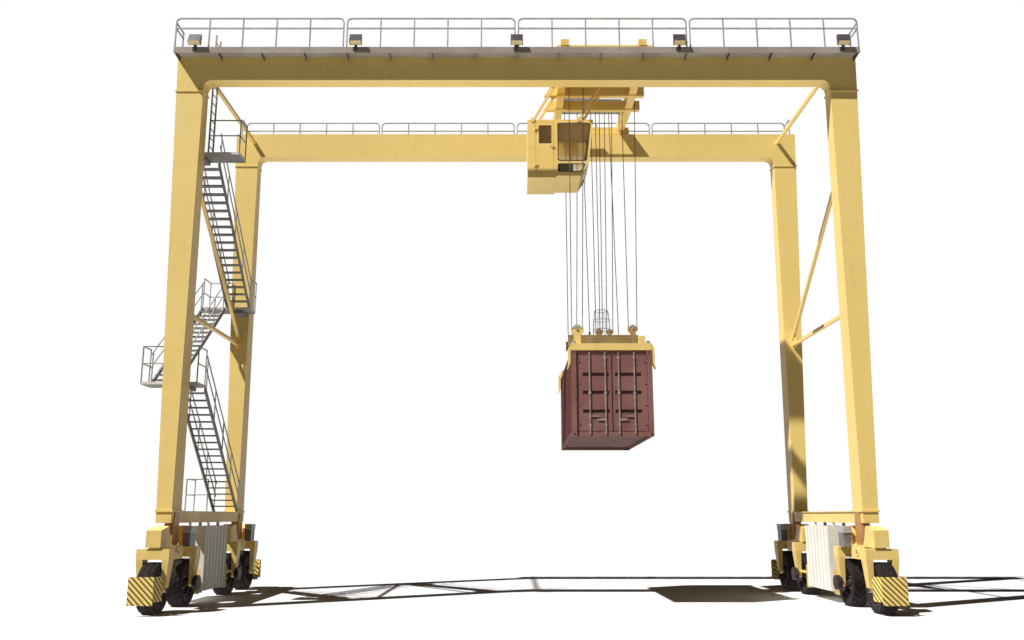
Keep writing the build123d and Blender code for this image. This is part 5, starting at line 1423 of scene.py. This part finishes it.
@dataclass
class MachineHouses:
    """The ribbed houses under the sills."""

    inner: float = 9.64
    outer: float = 10.5
    half_length: float = 1.13
    bottom: float = 0.34
    top: float = 2.29
    slats: int = 11

    def dress(self) -> None:
        """Give the houses their paint and the junction box a darker one."""
        for side in Side:
            part = dress(f"machine_house_{side.word}", PALETTE.house, PALETTE.motor_dark)
            repaint(part, 1, lambda c, n: c.y < -self.half_length - 0.004 and c.z < 1.0)

    def build(self) -> None:
        """Build the doors with air slats on the rear faces, and the base frames."""
        for side in Side:
            house = Shape(f"house_doors_{side.word}")
            inside, outside = sorted((side.value * self.inner, side.value * self.outer))
            inside, outside = inside + SPAN_MIDDLE, outside + SPAN_MIDDLE
            centre = (inside + outside) / 2
            y = self.half_length
            for sign in (-1, 1):
                a, b = sorted((centre + sign * 0.012, centre + sign * 0.385))
                house.block((a, y, self.bottom + 0.08), (b, y + 0.012, self.top - 0.08), 0, 0.004)
                for number in range(self.slats):
                    z = self.bottom + 1.15 + number * 0.05
                    outline = [(a + 0.05, y + 0.012, z), (a + 0.05, y + 0.030, z),
                               (a + 0.05, y + 0.012, z + 0.028)]
                    house.prism(outline, (b - a - 0.1, 0.0, 0.0))
                hinge = centre + sign * 0.392
                for z in (self.bottom + 0.3, self.top - 0.35):
                    house.rod((hinge, y + 0.012, z), (hinge, y + 0.012, z + 0.11), 0.011, 10, 1)
            house.rod((centre + 0.05, y + 0.05, 1.25), (centre + 0.05, y + 0.05, 1.43), 0.009, 8, 1)
            for z in (1.26, 1.42):
                house.rod((centre + 0.05, y + 0.01, z), (centre + 0.05, y + 0.05, z), 0.008, 8, 1)
            for y_base in (-self.half_length + 0.15, self.half_length - 0.15):
                house.block((inside + 0.06, y_base - 0.05, self.bottom - 0.05),
                            (outside - 0.06, y_base + 0.05, self.bottom), 1)
            house.piece("frame", [PALETTE.house, PALETTE.motor_dark], 30)


@dataclass
class Trolley:
    """Trolley beams, end carriages and the hoist drum with its rope turns."""

    centre: float = 2.8
    drum_y: float = 1.0
    drum_z: float = 17.35
    drum_radius: float = 0.2
    rope: float = 0.024
    turn_pitch: float = 0.0285
    half_drum: float = 1.06
    turn_steps: int = 18
    wheel_x: tuple[float, float] = (1.55, 4.15)
    wheel_z: float = 17.22
    deck_x: tuple[float, float] = (1.42, 4.18)
    deck_y: tuple[float, float] = (-2.05, 0.46)
    deck_z: float = 17.6
    deck_plate: float = 0.008
    toe_board: float = 0.10

    def dress(self) -> None:
        """Give the trolley its paint and bare steel."""
        dress("trolley_frame", PALETTE.crane_small)
        wheels = dress("end_carriages", PALETTE.crane_small, PALETTE.rail)
        repaint(wheels, 1, lambda c, n: any(
            math.hypot(c.x - SPAN_MIDDLE - x,
                       c.z - self.wheel_z) < 0.104 for x in self.wheel_x) and abs(n.z) < 0.995)
        dress("hoist_machinery", PALETTE.machine)

    def build(self) -> None:
        """Build the rope turns on the drum, the motor's ribs and the beam bolts."""
        turns = Shape("drum_rope_turns")
        count = int(2 * self.half_drum / self.turn_pitch)
        path = []
        for step in range(count * self.turn_steps):
            share = step / self.turn_steps
            x = self.centre + SPAN_MIDDLE - self.half_drum + share * self.turn_pitch
            path.append(Axis.X.place((x, self.drum_y, self.drum_z), 0.0,
                                     self.drum_radius + self.rope / 2 - 0.006,
                                     math.tau * share))
        turns.tube(path, self.rope / 2, 6)
        turns.piece("trolley", [PALETTE.rope], 60)
        ribs = Shape("hoist_motor_ribs")
        motor = (self.centre - 1.25 + 0.7 + SPAN_MIDDLE, 2.0, 17.9)
        for number in range(16):
            x = motor[0] + 0.2 + number * 0.042
            ribs.lathe([(0.0, 0.185), (0.0, 0.212), (0.012, 0.212), (0.012, 0.185)], (x, motor[1], motor[2]),
                       Axis.X, 28)
        ribs.block((motor[0] + 0.35, motor[1] - 0.11, motor[2] + 0.17),
                   (motor[0] + 0.65, motor[1] + 0.11, motor[2] + 0.218),
                   0, 0.02)
        ribs.piece("trolley", [PALETTE.machine], 30)
        self.deck()
        bolts = Shape("trolley_beam_bolts")
        for spread in (-1.25, 1.25):
            for sign in (-1, 1):
                for dx in (-0.085, 0.085):
                    for dy in (-0.06, 0.06):
                        spot = (self.centre + spread + dx + SPAN_MIDDLE, sign * 3.2 + dy, 17.6)
                        bolts.bolt(spot, (0, 0, 1), 0.016)
        bolts.piece("trolley", [PALETTE.bolt])

    def deck(self) -> None:
        """Build the plated deck over the front half of the trolley, with joists, toe boards and a hatch."""
        deck = Shape("trolley_deck")
        x0, x1 = (x + SPAN_MIDDLE for x in self.deck_x)
        (y0, y1), z = self.deck_y, self.deck_z
        top = z + self.deck_plate
        deck.block((x0, y0, z), (x1, y1, top))
        for share in (0.04, 0.34, 0.66, 0.96):
            y = y0 + share * (y1 - y0)
            deck.block((x0 + 0.26, y - 0.03, z - 0.006), (x1 - 0.26, y + 0.03, z), 1)
            deck.block((x0 + 0.26, y - 0.003, z - 0.07), (x1 - 0.26, y + 0.003, z - 0.006), 1)
        deck.block((x0, y0, top), (x1, y0 + 0.006, top + self.toe_board), 1)
        for x in (x0, x1 - 0.006):
            deck.block((x, y0 + 0.006, top), (x + 0.006, y1, top + self.toe_board), 1)
        hatch_x, hatch_y = (x0 + x1) / 2 - 0.35, y0 + 0.7
        deck.block((hatch_x, hatch_y, top), (hatch_x + 0.7, hatch_y + 0.7, top + 0.006), 0, 0.03)
        for dx in (0.15, 0.55):
            deck.rod((hatch_x + dx - 0.05, hatch_y, top + 0.008), (hatch_x + dx + 0.05, hatch_y, top + 0.008),
                     0.011, 10, 2)
        for x in (x0 + 0.13, x1 - 0.13):
            for number in range(6):
                deck.bolt((x, y0 + 0.15 + number * 0.43, top), (0, 0, 1), 0.013, 2)
        deck.piece("trolley", [PALETTE.deck, PALETTE.crane_small, PALETTE.bolt], 30)


@dataclass
class Cab:
    """The driver's cab with its glass, seals, wiper and seat."""

    near: float = -1.6
    far: float = 0.05
    step: float = 1.32
    nose_top: float = 2.57
    nose_mid: float = 2.40
    nose_foot: float = 2.13
    ledge: float = 13.61
    sill: float = 14.06
    roof: float = 15.6
    upper: tuple[float, float] = (14.15, 15.47)
    lower: tuple[float, float] = (13.76, 14.03)
    seal: float = 0.028
    deck: float = 13.6603
    seat_x: float = 1.58

    def dress(self) -> None:
        """Give the shell, door, struts and glass their finishes."""
        shell = dress("cab_shell", PALETTE.crane_small, PALETTE.room)
        repaint(shell, 1, self.inside)
        dress("cab_door", PALETTE.crane_small)
        dress("cab_struts", PALETTE.crane_small)
        dress("cab_glass", PALETTE.window)
        dress("door_glass", PALETTE.window)

    def inside(self, centre: Vector, normal: Vector) -> bool:
        """Whether a face of the shell looks into the room.

        Args:
            centre: Middle of the face.
            normal: Way it looks.

        Returns:
            Yes for the room's own walls, floor and roof.
        """
        x = centre.x - SPAN_MIDDLE
        within = (self.near + 0.045 < centre.y < self.far - 0.045 and 0.41 < x
                  and self.deck - 0.01 < centre.z < 15.56)
        return within and (abs(normal.y) > 0.9 or abs(normal.z) > 0.9 or normal.x > 0.5)

    def nose(self, z: float) -> float:
        """X of the sloping nose at one height.

        Args:
            z: Height.

        Returns:
            The nose's X before the span's middle is added.
        """
        if z >= self.sill:
            return self.nose_mid + (self.nose_top - self.nose_mid) * (z - self.sill) / (self.roof - self.sill)
        return self.nose_foot + (self.nose_mid - self.nose_foot) * (z - self.ledge) / (self.sill - self.ledge)

    def side_outline(self, window: tuple[float, float], grow: float, y: float) -> list[Point]:
        """Outline of a side window with cut corners.

        Args:
            window: Its lowest and highest point.
            grow: How far the outline lies outside the glass.
            y: Where the outline lies.

        Returns:
            Eight corners.
        """
        low, high = window
        corners = [
            (self.step + 0.06 - grow, low - grow), (self.nose(low) - 0.09 + grow, low - grow),
            (self.nose(high) - 0.09 + grow, high + grow), (self.step + 0.06 - grow, high + grow),
        ]
        cut = 0.045
        outline = []
        for number, here in enumerate(corners):
            before, after = corners[number - 1], corners[(number + 1) % 4]
            for other in (before, after):
                way = Vector((other[0] - here[0], other[1] - here[1])).normalized()
                outline.append((here[0] + way.x * cut + SPAN_MIDDLE, y, here[1] + way.y * cut))
        return outline

    def build(self) -> None:
        """Build seals, wiper, seat and controls."""
        seals = Shape("window_seals")
        for window in (self.upper, self.lower):
            for y, way in ((self.near, -0.006), (self.far, 0.006)):
                outer = self.side_outline(window, self.seal * 0.5, y)
                inner = self.side_outline(window, -self.seal * 0.5, y)
                seals.frame_ring(outer, inner, (0.0, way, 0.0))
            seals_low, seals_high = window
            for y0, y1 in ((self.near + 0.07, self.near + 0.09), (self.far - 0.09, self.far - 0.07)):
                outline = [(self.nose(seals_low) + SPAN_MIDDLE - 0.03, y0, seals_low),
                           (self.nose(seals_low) + SPAN_MIDDLE + 0.004, y0, seals_low),
                           (self.nose(seals_high) + SPAN_MIDDLE + 0.004, y0, seals_high),
                           (self.nose(seals_high) + SPAN_MIDDLE - 0.03, y0, seals_high)]
                seals.prism(outline, (0.0, y1 - y0, 0.0))
        seals.piece("trolley", [PALETTE.seal])
        wiper = Shape("screen_wiper")
        base = (self.nose(15.45) + SPAN_MIDDLE + 0.012, -0.78, 15.45)
        tip = (self.nose(14.75) + SPAN_MIDDLE + 0.022, -0.62, 14.75)
        wiper.rod(base, tip, 0.007, 8)
        wiper.rod((tip[0], tip[1], tip[2] + 0.3),
                  (self.nose(14.45) + SPAN_MIDDLE + 0.022, tip[1] + 0.02, 14.45), 0.010, 6)
        wiper.rod((base[0] - 0.02, base[1], base[2]), (base[0] + 0.02, base[1], base[2]), 0.028, 12)
        wiper.piece("trolley", [PALETTE.seal])
        self.seat()

    def cushion(self, name: str, size: Point, centre: Point, tilt: float) -> bpy.types.Object:
        """Build one padded cushion with a sunk seam round its middle panel.

        Args:
            name: Name of the piece.
            size: Width along X, Y and Z before it is tilted.
            centre: Middle of the cushion.
            tilt: Turn about Y in radians.

        Returns:
            The new object.
        """
        steps = 14
        work = bmesh.new()
        bmesh.ops.create_cube(work, size=1.0)
        bmesh.ops.subdivide_edges(work, edges=work.edges[:], cuts=steps, use_grid_fill=True)
        thin = min(range(3), key=lambda n: size[n])
        wide = [n for n in range(3) if n != thin]
        for vertex in work.verts:
            u, v = (2 * vertex.co[n] for n in wide)
            t = 2 * vertex.co[thin]
            edge = max(abs(u), abs(v))
            crown = (1 - abs(u) ** 4) * (1 - abs(v) ** 4)
            swell = 0.62 + 0.38 * crown
            seam = 0.10 * math.exp(-((edge - 0.72) / 0.05) ** 2)
            pull = 1 - 0.05 * (1 - abs(u * v)) * (1 - crown) - 0.04 * abs(t) ** 6
            for n in wide:
                vertex.co[n] *= pull
            vertex.co[thin] *= swell - seam
        cos, sin = math.cos(tilt), math.sin(tilt)
        for vertex in work.verts:
            x, y, z = (vertex.co[n] * size[n] for n in range(3))
            vertex.co = (x * cos + z * sin + centre[0], y + centre[1], -x * sin + z * cos + centre[2])
        mesh = bpy.data.meshes.new(name)
        work.to_mesh(mesh)
        work.free()
        mesh.polygons.foreach_set("use_smooth", [True] * len(mesh.polygons))
        mesh.materials.append(PALETTE.cover.material())
        made = place_piece(mesh, name, "trolley")
        return made

    def seat(self) -> None:
        """Build the seat's cushions, its stand and the two control boxes."""
        x, y = self.seat_x + SPAN_MIDDLE, (self.near + self.far) / 2
        squab = self.cushion("seat_squab", (0.50, 0.48, 0.12), (x, y, self.deck + 0.375), 0.0)
        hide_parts("driver_seat")
        self.cushion("seat_backrest", (0.11, 0.45, 0.70), (x - 0.265, y, self.deck + 0.79), -0.09)
        self.cushion("seat_headrest", (0.09, 0.26, 0.16), (x - 0.305, y, self.deck + 1.10), -0.09)
        stand = Shape("seat_stand")
        stand.lathe([(0.0, 0.0), (0.0, 0.16), (0.03, 0.15), (0.05, 0.06), (0.28, 0.05), (0.30, 0.15),
                     (0.32, 0.15),
                     (0.32, 0.0)], (x, y, self.deck), Axis.Z, 28, 0, False)
        for sign in (-1, 1):
            arm = y + sign * 0.42
            stand.block((x - 0.16, arm - 0.11, self.deck), (x + 0.32, arm + 0.11, self.deck + 0.53), 0, 0.03)
            stand.block((x - 0.14, arm - 0.095, self.deck + 0.53), (x + 0.30, arm + 0.095, self.deck + 0.56),
                        1, 0.02)
            stand.lathe([(0.0, 0.045), (0.012, 0.040), (0.03, 0.018), (0.04, 0.012), (0.13, 0.011),
                         (0.135, 0.026),
                         (0.165, 0.030), (0.185, 0.018), (0.188, 0.0)], (x + 0.235, arm, self.deck + 0.555),
                         Axis.Z, 18, 1,
                        False)
            for number in range(4):
                spot = (x - 0.08 + 0.06 * number, arm + 0.04, self.deck + 0.56)
                stand.rod(spot, (spot[0], spot[1], spot[2] + 0.012), 0.012, 12, 2)
        stand.piece("trolley", [PALETTE.plastic, PALETTE.seal, PALETTE.zinc], 35)


@dataclass
class Ropes:
    """The hoist ropes, each laid up from six strands."""

    radius: float = 0.0135
    lay: float = 0.22
    steps_per_lay: int = 8
    top: float = 17.35
    bottom: float = 8.60
    keep: float = 0.6
    lines: tuple[tuple[float, float, float, float], ...] = (
        (1.700, -2.750, 1.675, -2.750), (2.180, -2.750, 2.015, -2.750), (1.763, 0.7857, 1.740, 0.0),
        (2.228, 0.7857, 2.070, 0.600), (2.391, 0.7857, 2.440, -0.280), (2.707, 0.7857, 2.630, -0.500),
        (3.023, 0.7857, 2.850, -0.500), (3.212, 0.7857, 2.991, -0.500), (3.480, 0.7857, 3.191, -0.500),
        (2.878, 0.7857, 2.850, 0.320), (3.350, 0.7857, 3.510, 0.600), (3.843, 0.7857, 3.697, -0.600),
        (4.250, 0.300, 3.977, -0.600),
    )

    def build(self) -> None:
        """Build all ropes as one piece that rides on the trolley."""
        shape = Shape("hoist_rope_strands")
        length = self.top - self.bottom
        rings = int(length / self.lay * self.steps_per_lay)
        sides = 12
        for x_top, y_top, x_low, y_low in self.lines:
            points = []
            for ring in range(rings + 1):
                share = ring / rings
                x = x_low + (x_top - x_low) * share + SPAN_MIDDLE
                y = y_low + (y_top - y_low) * share
                z = self.bottom + length * share
                twist = math.tau * ring / self.steps_per_lay / 6
                for i in range(sides):
                    radius = self.radius * (1.0 if i % 2 == 0 else 0.72)
                    angle = math.tau * i / sides + twist
                    points.append((x + radius * math.cos(angle), y + radius * math.sin(angle), z))
            faces = [
                (r * sides + i, r * sides + (i + 1) % sides, (r + 1) * sides + (i + 1) % sides,
                 (r + 1) * sides + i)
                for r in range(rings) for i in range(sides)
            ]
            last = rings * sides
            faces += [tuple(range(sides))[::-1], tuple(range(last, last + sides))]
            shape.add(points, faces)
        ropes = shape.piece("trolley", [PALETTE.rope], 75)
        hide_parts("hoist_ropes")
        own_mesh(ropes)


@dataclass
class Load:
    """Spreader, rope blocks, cable cage and the container with its doors."""

    centre: float = 2.852
    half_width: float = 1.219
    half_length: float = 3.029
    bottom: float = 4.905
    height: float = 2.591
    recess: float = 0.045
    bands: tuple[float, float, float] = (0.235, 0.478, 0.712)
    band_height: float = 0.105
    post: float = 0.15
    head_z: tuple[float, float] = (8.12, 8.42)
    blocks: tuple[tuple[float, float, float, float], ...] = (
        (1.845, -2.75, 8.18, 0.17), (1.815, 0.0, 8.40, 0.075), (3.837, -0.60, 8.65, 0.14),
        (2.740, -0.50, 8.57, 0.11),
        (3.091, -0.50, 8.57, 0.10),
    )
    cheek_gap: float = 0.06

    def dress(self) -> None:
        """Give the load's parts their finishes."""
        spreader = dress("spreader_frame", PALETTE.crane_small, PALETTE.head_frame, PALETTE.cheek)
        # The head frame's upper and side faces take the painted shade; its undersides keep the yellow.
        repaint(spreader, 1, lambda c, n: self.head_z[0] - 0.002 < c.z < self.head_z[1] + 0.03 and n.z > -0.5
                and abs(c.y) < 0.72)
        repaint(spreader, 2, lambda c, n: c.z > self.head_z[1] + 0.031 and abs(n.y) > 0.9)
        dress("sheaves", PALETTE.sheave)
        dress("cable_cage", PALETTE.handrail)
        box = dress("container", PALETTE.box, PALETTE.box_side, PALETTE.box_under)
        flank = self.half_width - 0.06
        # The long sides take the painted shade.
        repaint(box, 1, lambda c, n: abs(c.x - self.centre - SPAN_MIDDLE) > flank and abs(n.x) > 0.3)
        # The underside takes the painted shade.
        repaint(box, 2, lambda c, n: n.z < -0.7 and c.z < self.bottom + 0.25)
        doors = dress("container_doors", PALETTE.box, PALETTE.zinc, PALETTE.box_shadow)
        face = -self.half_length + self.recess
        repaint(doors, 1, lambda c, n: c.y < face - 0.003)
        # The pressed bands of the door leaves take the painted shadow.
        repaint(doors, 2, lambda c, n: face + 0.002 < c.y < face + 0.036 and self.in_band(c))

    def in_band(self, centre: Vector) -> bool:
        """Whether a face lies in one of the pressed bands of the doors."""
        low = self.bottom + 0.15
        span = self.height - 0.27
        return any(low + s * span - 0.002 < centre.z < low + s * span + self.band_height + 0.002
                   for s in self.bands)

    def build(self) -> None:
        """Build door seals, corner castings and the spreader's fittings."""
        self.door_seals()
        self.castings()
        self.spreader_fittings()
        self.block_fittings()

    def door_seals(self) -> None:
        """Build the rubber seals round and between the door leaves."""
        seals = Shape("door_seals")
        x, face = self.centre + SPAN_MIDDLE, -self.half_length + self.recess
        low, high = self.bottom + 0.152, self.bottom + self.height - 0.122
        reach = self.half_width - self.post
        for sign in (-1, 1):
            inner, outer = sorted((x + sign * 0.004, x + sign * (reach - 0.004)))
            width = 0.009
            outline = [(inner, face, low), (outer, face, low), (outer, face, high), (inner, face, high)]
            hole = [(inner + width, face, low + width), (outer - width, face, low + width),
                    (outer - width, face, high - width), (inner + width, face, high - width)]
            seals.frame_ring(outline, hole, (0.0, -0.006, 0.0))
            for z in (low + 0.22, low + 0.80, low + 1.45, high - 0.22):
                edge = x + sign * (reach + 0.01)
                a, b = sorted((edge - sign * 0.11, edge + sign * 0.02))
                seals.block((a, face - 0.016, z - 0.028), (b, face, z + 0.028), 1, 0.004)
        seals.piece("load", [PALETTE.box_seal, PALETTE.box])

    def castings(self) -> None:
        """Build the eight corner castings; their oval holes are flat dark ovals of painted shadow."""
        corners = Shape("corner_castings")
        x = self.centre + SPAN_MIDDLE
        for sx in (-1, 1):
            for sy in (-1, 1):
                for low in (self.bottom, self.bottom + self.height - 0.118):
                    xs = sorted((x + sx * (self.half_width + 0.0015), x + sx * (self.half_width - 0.160)))
                    ys = sorted((sy * (self.half_length + 0.0015), sy * (self.half_length - 0.176)))
                    corners.block((xs[0], ys[0], low + 0.0005), (xs[1], ys[1], low + 0.1175), 0, 0.012)
                    end = (x + sx * (self.half_width - 0.08), sy * (self.half_length + 0.0015), low + 0.059)
                    # Each hole is a flat dark oval in the painted shadow finish, on the end and on the side.
                    outline = [self.oval(end, number, 0.031, 0.038, Axis.Y) for number in range(16)]
                    corners.prism(outline, (0.0, sy * 0.001, 0.0), 1)
                    flank = (x + sx * (self.half_width + 0.0015), sy * (self.half_length - 0.09), low + 0.059)
                    outline = [self.oval(flank, number, 0.036, 0.028, Axis.X) for number in range(16)]
                    corners.prism(outline, (sx * 0.001, 0.0, 0.0), 1)
        corners.piece("load", [PALETTE.box, PALETTE.box_shadow])

    def oval(self, centre: Point, number: int, wide: float, tall: float, axis: Axis) -> Point:
        """One of sixteen corners of an upright oval.

        Args:
            centre: Middle of the oval.
            number: Number of the corner.
            wide: Half width.
            tall: Half height.
            axis: Way the oval looks.

        Returns:
            The corner.
        """
        angle = math.tau * number / 16
        a, b = wide * math.cos(angle), tall * math.sin(angle)
        if axis is Axis.Y:
            return (centre[0] + a, centre[1], centre[2] + b)
        return (centre[0], centre[1] + a, centre[2] + b)

    def block_fittings(self) -> None:
        """Build the rope guards, pins and lock plates on the cheeks of the rope blocks."""
        fittings = Shape("rope_block_fittings")
        for x, y, z, radius in self.blocks:
            x += SPAN_MIDDLE
            for sign in (-1, 1):
                face = y + sign * self.cheek_gap
                arc = [math.radians(18 + 144 * number / 14) for number in range(15)]
                outer = [(x + 1.12 * radius * math.cos(a), face,
                          z + 0.62 * radius * math.sin(a) - 0.02) for a in arc]
                inner = [(x + 0.80 * radius * math.cos(a), face,
                          z + 0.40 * radius * math.sin(a) - 0.02) for a in arc]
                fittings.prism(outer + inner[::-1], (0.0, sign * 0.006, 0.0))
                fittings.rod((x, face, z), (x, face + sign * 0.022, z), 0.24 * radius, 20, 1)
                fittings.rod((x, face, z), (x, face + sign * 0.030, z), 0.10 * radius, 12, 2)
                for angle in (-0.6, math.pi + 0.6):
                    seat = (x + 0.42 * radius * math.cos(angle), face, z + 0.42 * radius * math.sin(angle))
                    fittings.bolt(seat, (0, sign, 0), 0.007, 2)
        fittings.piece("load", [PALETTE.sheave, PALETTE.cheek, PALETTE.bolt], 35)

    def spreader_fittings(self) -> None:
        """Build lock heads and bolts on the spreader's end beams."""
        fittings = Shape("spreader_fittings")
        x = self.centre + SPAN_MIDDLE
        top = self.bottom + self.height + 0.2103
        for sx in (-1, 1):
            for sy in (-1, 1):
                spot = (x + sx * (self.half_width - 0.09), sy * (self.half_length - 0.10), top)
                fittings.lathe([(0.0, 0.0), (0.0, 0.075), (0.035, 0.070), (0.05, 0.05), (0.085, 0.048),
                                (0.09, 0.0)], spot,
                               Axis.Z, 24, 0, False)
                for number in range(4):
                    seat = Axis.Z.place(spot, 0.0, 0.10, math.tau * (number + 0.5) / 4)
                    fittings.bolt(seat, (0, 0, 1), 0.013, 1)
        fittings.piece("load", [PALETTE.sheave, PALETTE.bolt], 35)


@dataclass
class Studio:
    """Camera, lights, world and floor."""

    eye: Point = (0.13875, -30.381, 2.60)
    pitch: float = 12.018
    lens: float = 32.34
    sun_way: Point = (0.65, 0.42, -1.0)
    sun_power: float = 6.3
    sun_angle: float = 0.7
    fill_power: float = 2.1
    ambient: float = 0.02
    floor_size: float = 400.0

    def build(self) -> None:
        """Build the studio in order."""
        self.camera()
        self.lights()
        self.world()
        self.floor()
        settings = bpy.context.scene.view_settings
        settings.view_transform = "Standard"

    def camera(self) -> None:
        """Set the camera at the photograph's viewing angle."""
        data = bpy.data.cameras.new("camera")
        data.lens = self.lens
        data.sensor_width = 36.0
        data.clip_end = 2000.0
        made = bpy.data.objects.new("camera", data)
        made.location = self.eye
        made.rotation_euler = (math.radians(90 + self.pitch), 0.0, 0.0)
        bpy.context.scene.collection.objects.link(made)
        bpy.context.scene.camera = made

    def lights(self) -> None:
        """Set the high key light and the soft light from below."""
        for name, way, power, angle in (
            ("key_light", self.sun_way, self.sun_power, self.sun_angle),
            ("floor_light", (0.0, 0.0, 1.0), self.fill_power, 60.0),
        ):
            data = bpy.data.lights.new(name, "SUN")
            data.energy = power
            data.angle = math.radians(angle)
            made = bpy.data.objects.new(name, data)
            made.rotation_euler = Vector(way).to_track_quat("-Z", "Y").to_euler()
            made.location = tuple(-40.0 * c for c in way)
            bpy.context.scene.collection.objects.link(made)

    def background_share(self, graph: Graph) -> bpy.types.NodeSocket:
        """Share of rays that see the plain white background.

        Args:
            graph: Nodes of the world or floor.

        Returns:
            One for camera, glossy and glass rays, otherwise zero.
        """
        path = graph.node("ShaderNodeLightPath")
        seen = graph.math("MAXIMUM", path.outputs["Is Camera Ray"], path.outputs["Is Glossy Ray"])
        return graph.math("MAXIMUM", seen, path.outputs["Is Transmission Ray"])

    def world(self) -> None:
        """Make a white background that lights the crane only softly."""
        world = bpy.data.worlds.new("studio")
        world.use_nodes = True
        bpy.context.scene.world = world
        graph = Graph(world.node_tree)
        soft = graph.node("ShaderNodeBackground", {"Color": (1.0, 0.86, 0.95), "Strength": self.ambient})
        white = graph.node("ShaderNodeBackground", {"Color": (1.0, 1.0, 1.0), "Strength": 1.0})
        both = graph.node("ShaderNodeMixShader",
                          {0: self.background_share(graph), 1: soft.outputs[0], 2: white.outputs[0]})
        leave = graph.node("ShaderNodeOutputWorld")
        graph.tree.links.new(both.outputs[0], leave.inputs["Surface"])

    def floor(self) -> None:
        """Lay the pale floor that keeps the crane's shadow."""
        half = self.floor_size / 2
        mesh = bpy.data.meshes.new("floor")
        mesh.from_pydata([(-half, -half, 0.0), (half, -half, 0.0), (half, half, 0.0), (-half, half, 0.0)], [],
                         [(0, 1, 2, 3)])
        material = bpy.data.materials.new("floor_white")
        material.use_nodes = True
        graph = Graph(material.node_tree)
        seen = graph.node("ShaderNodeBsdfDiffuse", {"Color": (0.68, 0.675, 0.685)})
        bounce = graph.node("ShaderNodeBsdfDiffuse", {"Color": (0.17, 0.165, 0.16)})
        both = graph.node("ShaderNodeMixShader", {0: self.background_share(graph), 1: bounce.outputs[0],
                                                  2: seen.outputs[0]})
        leave = graph.node("ShaderNodeOutputMaterial")
        graph.tree.links.new(both.outputs[0], leave.inputs["Surface"])
        mesh.materials.append(material)
        made = bpy.data.objects.new("floor", mesh)
        made.visible_shadow = False
        bpy.context.scene.collection.objects.link(made)
        made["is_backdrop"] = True


def main() -> None:
    """Build the studio and each sub-assembly, and log how many pieces each adds."""
    logging.basicConfig(level=logging.INFO, format="%(name)s: %(message)s")
    Studio().build()
    for part in (Portal(), Walkways(), Stairs(), RunningGear(), MachineHouses(), Trolley(), Cab(), Load()):
        before = len(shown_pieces())
        part.dress()
        part.build()
        LOG.info("%s dressed, %d new pieces", type(part).__name__, len(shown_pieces()) - before)
    Ropes().build()
    LOG.info("Ropes laid")


if __name__ == "__main__":
    main()
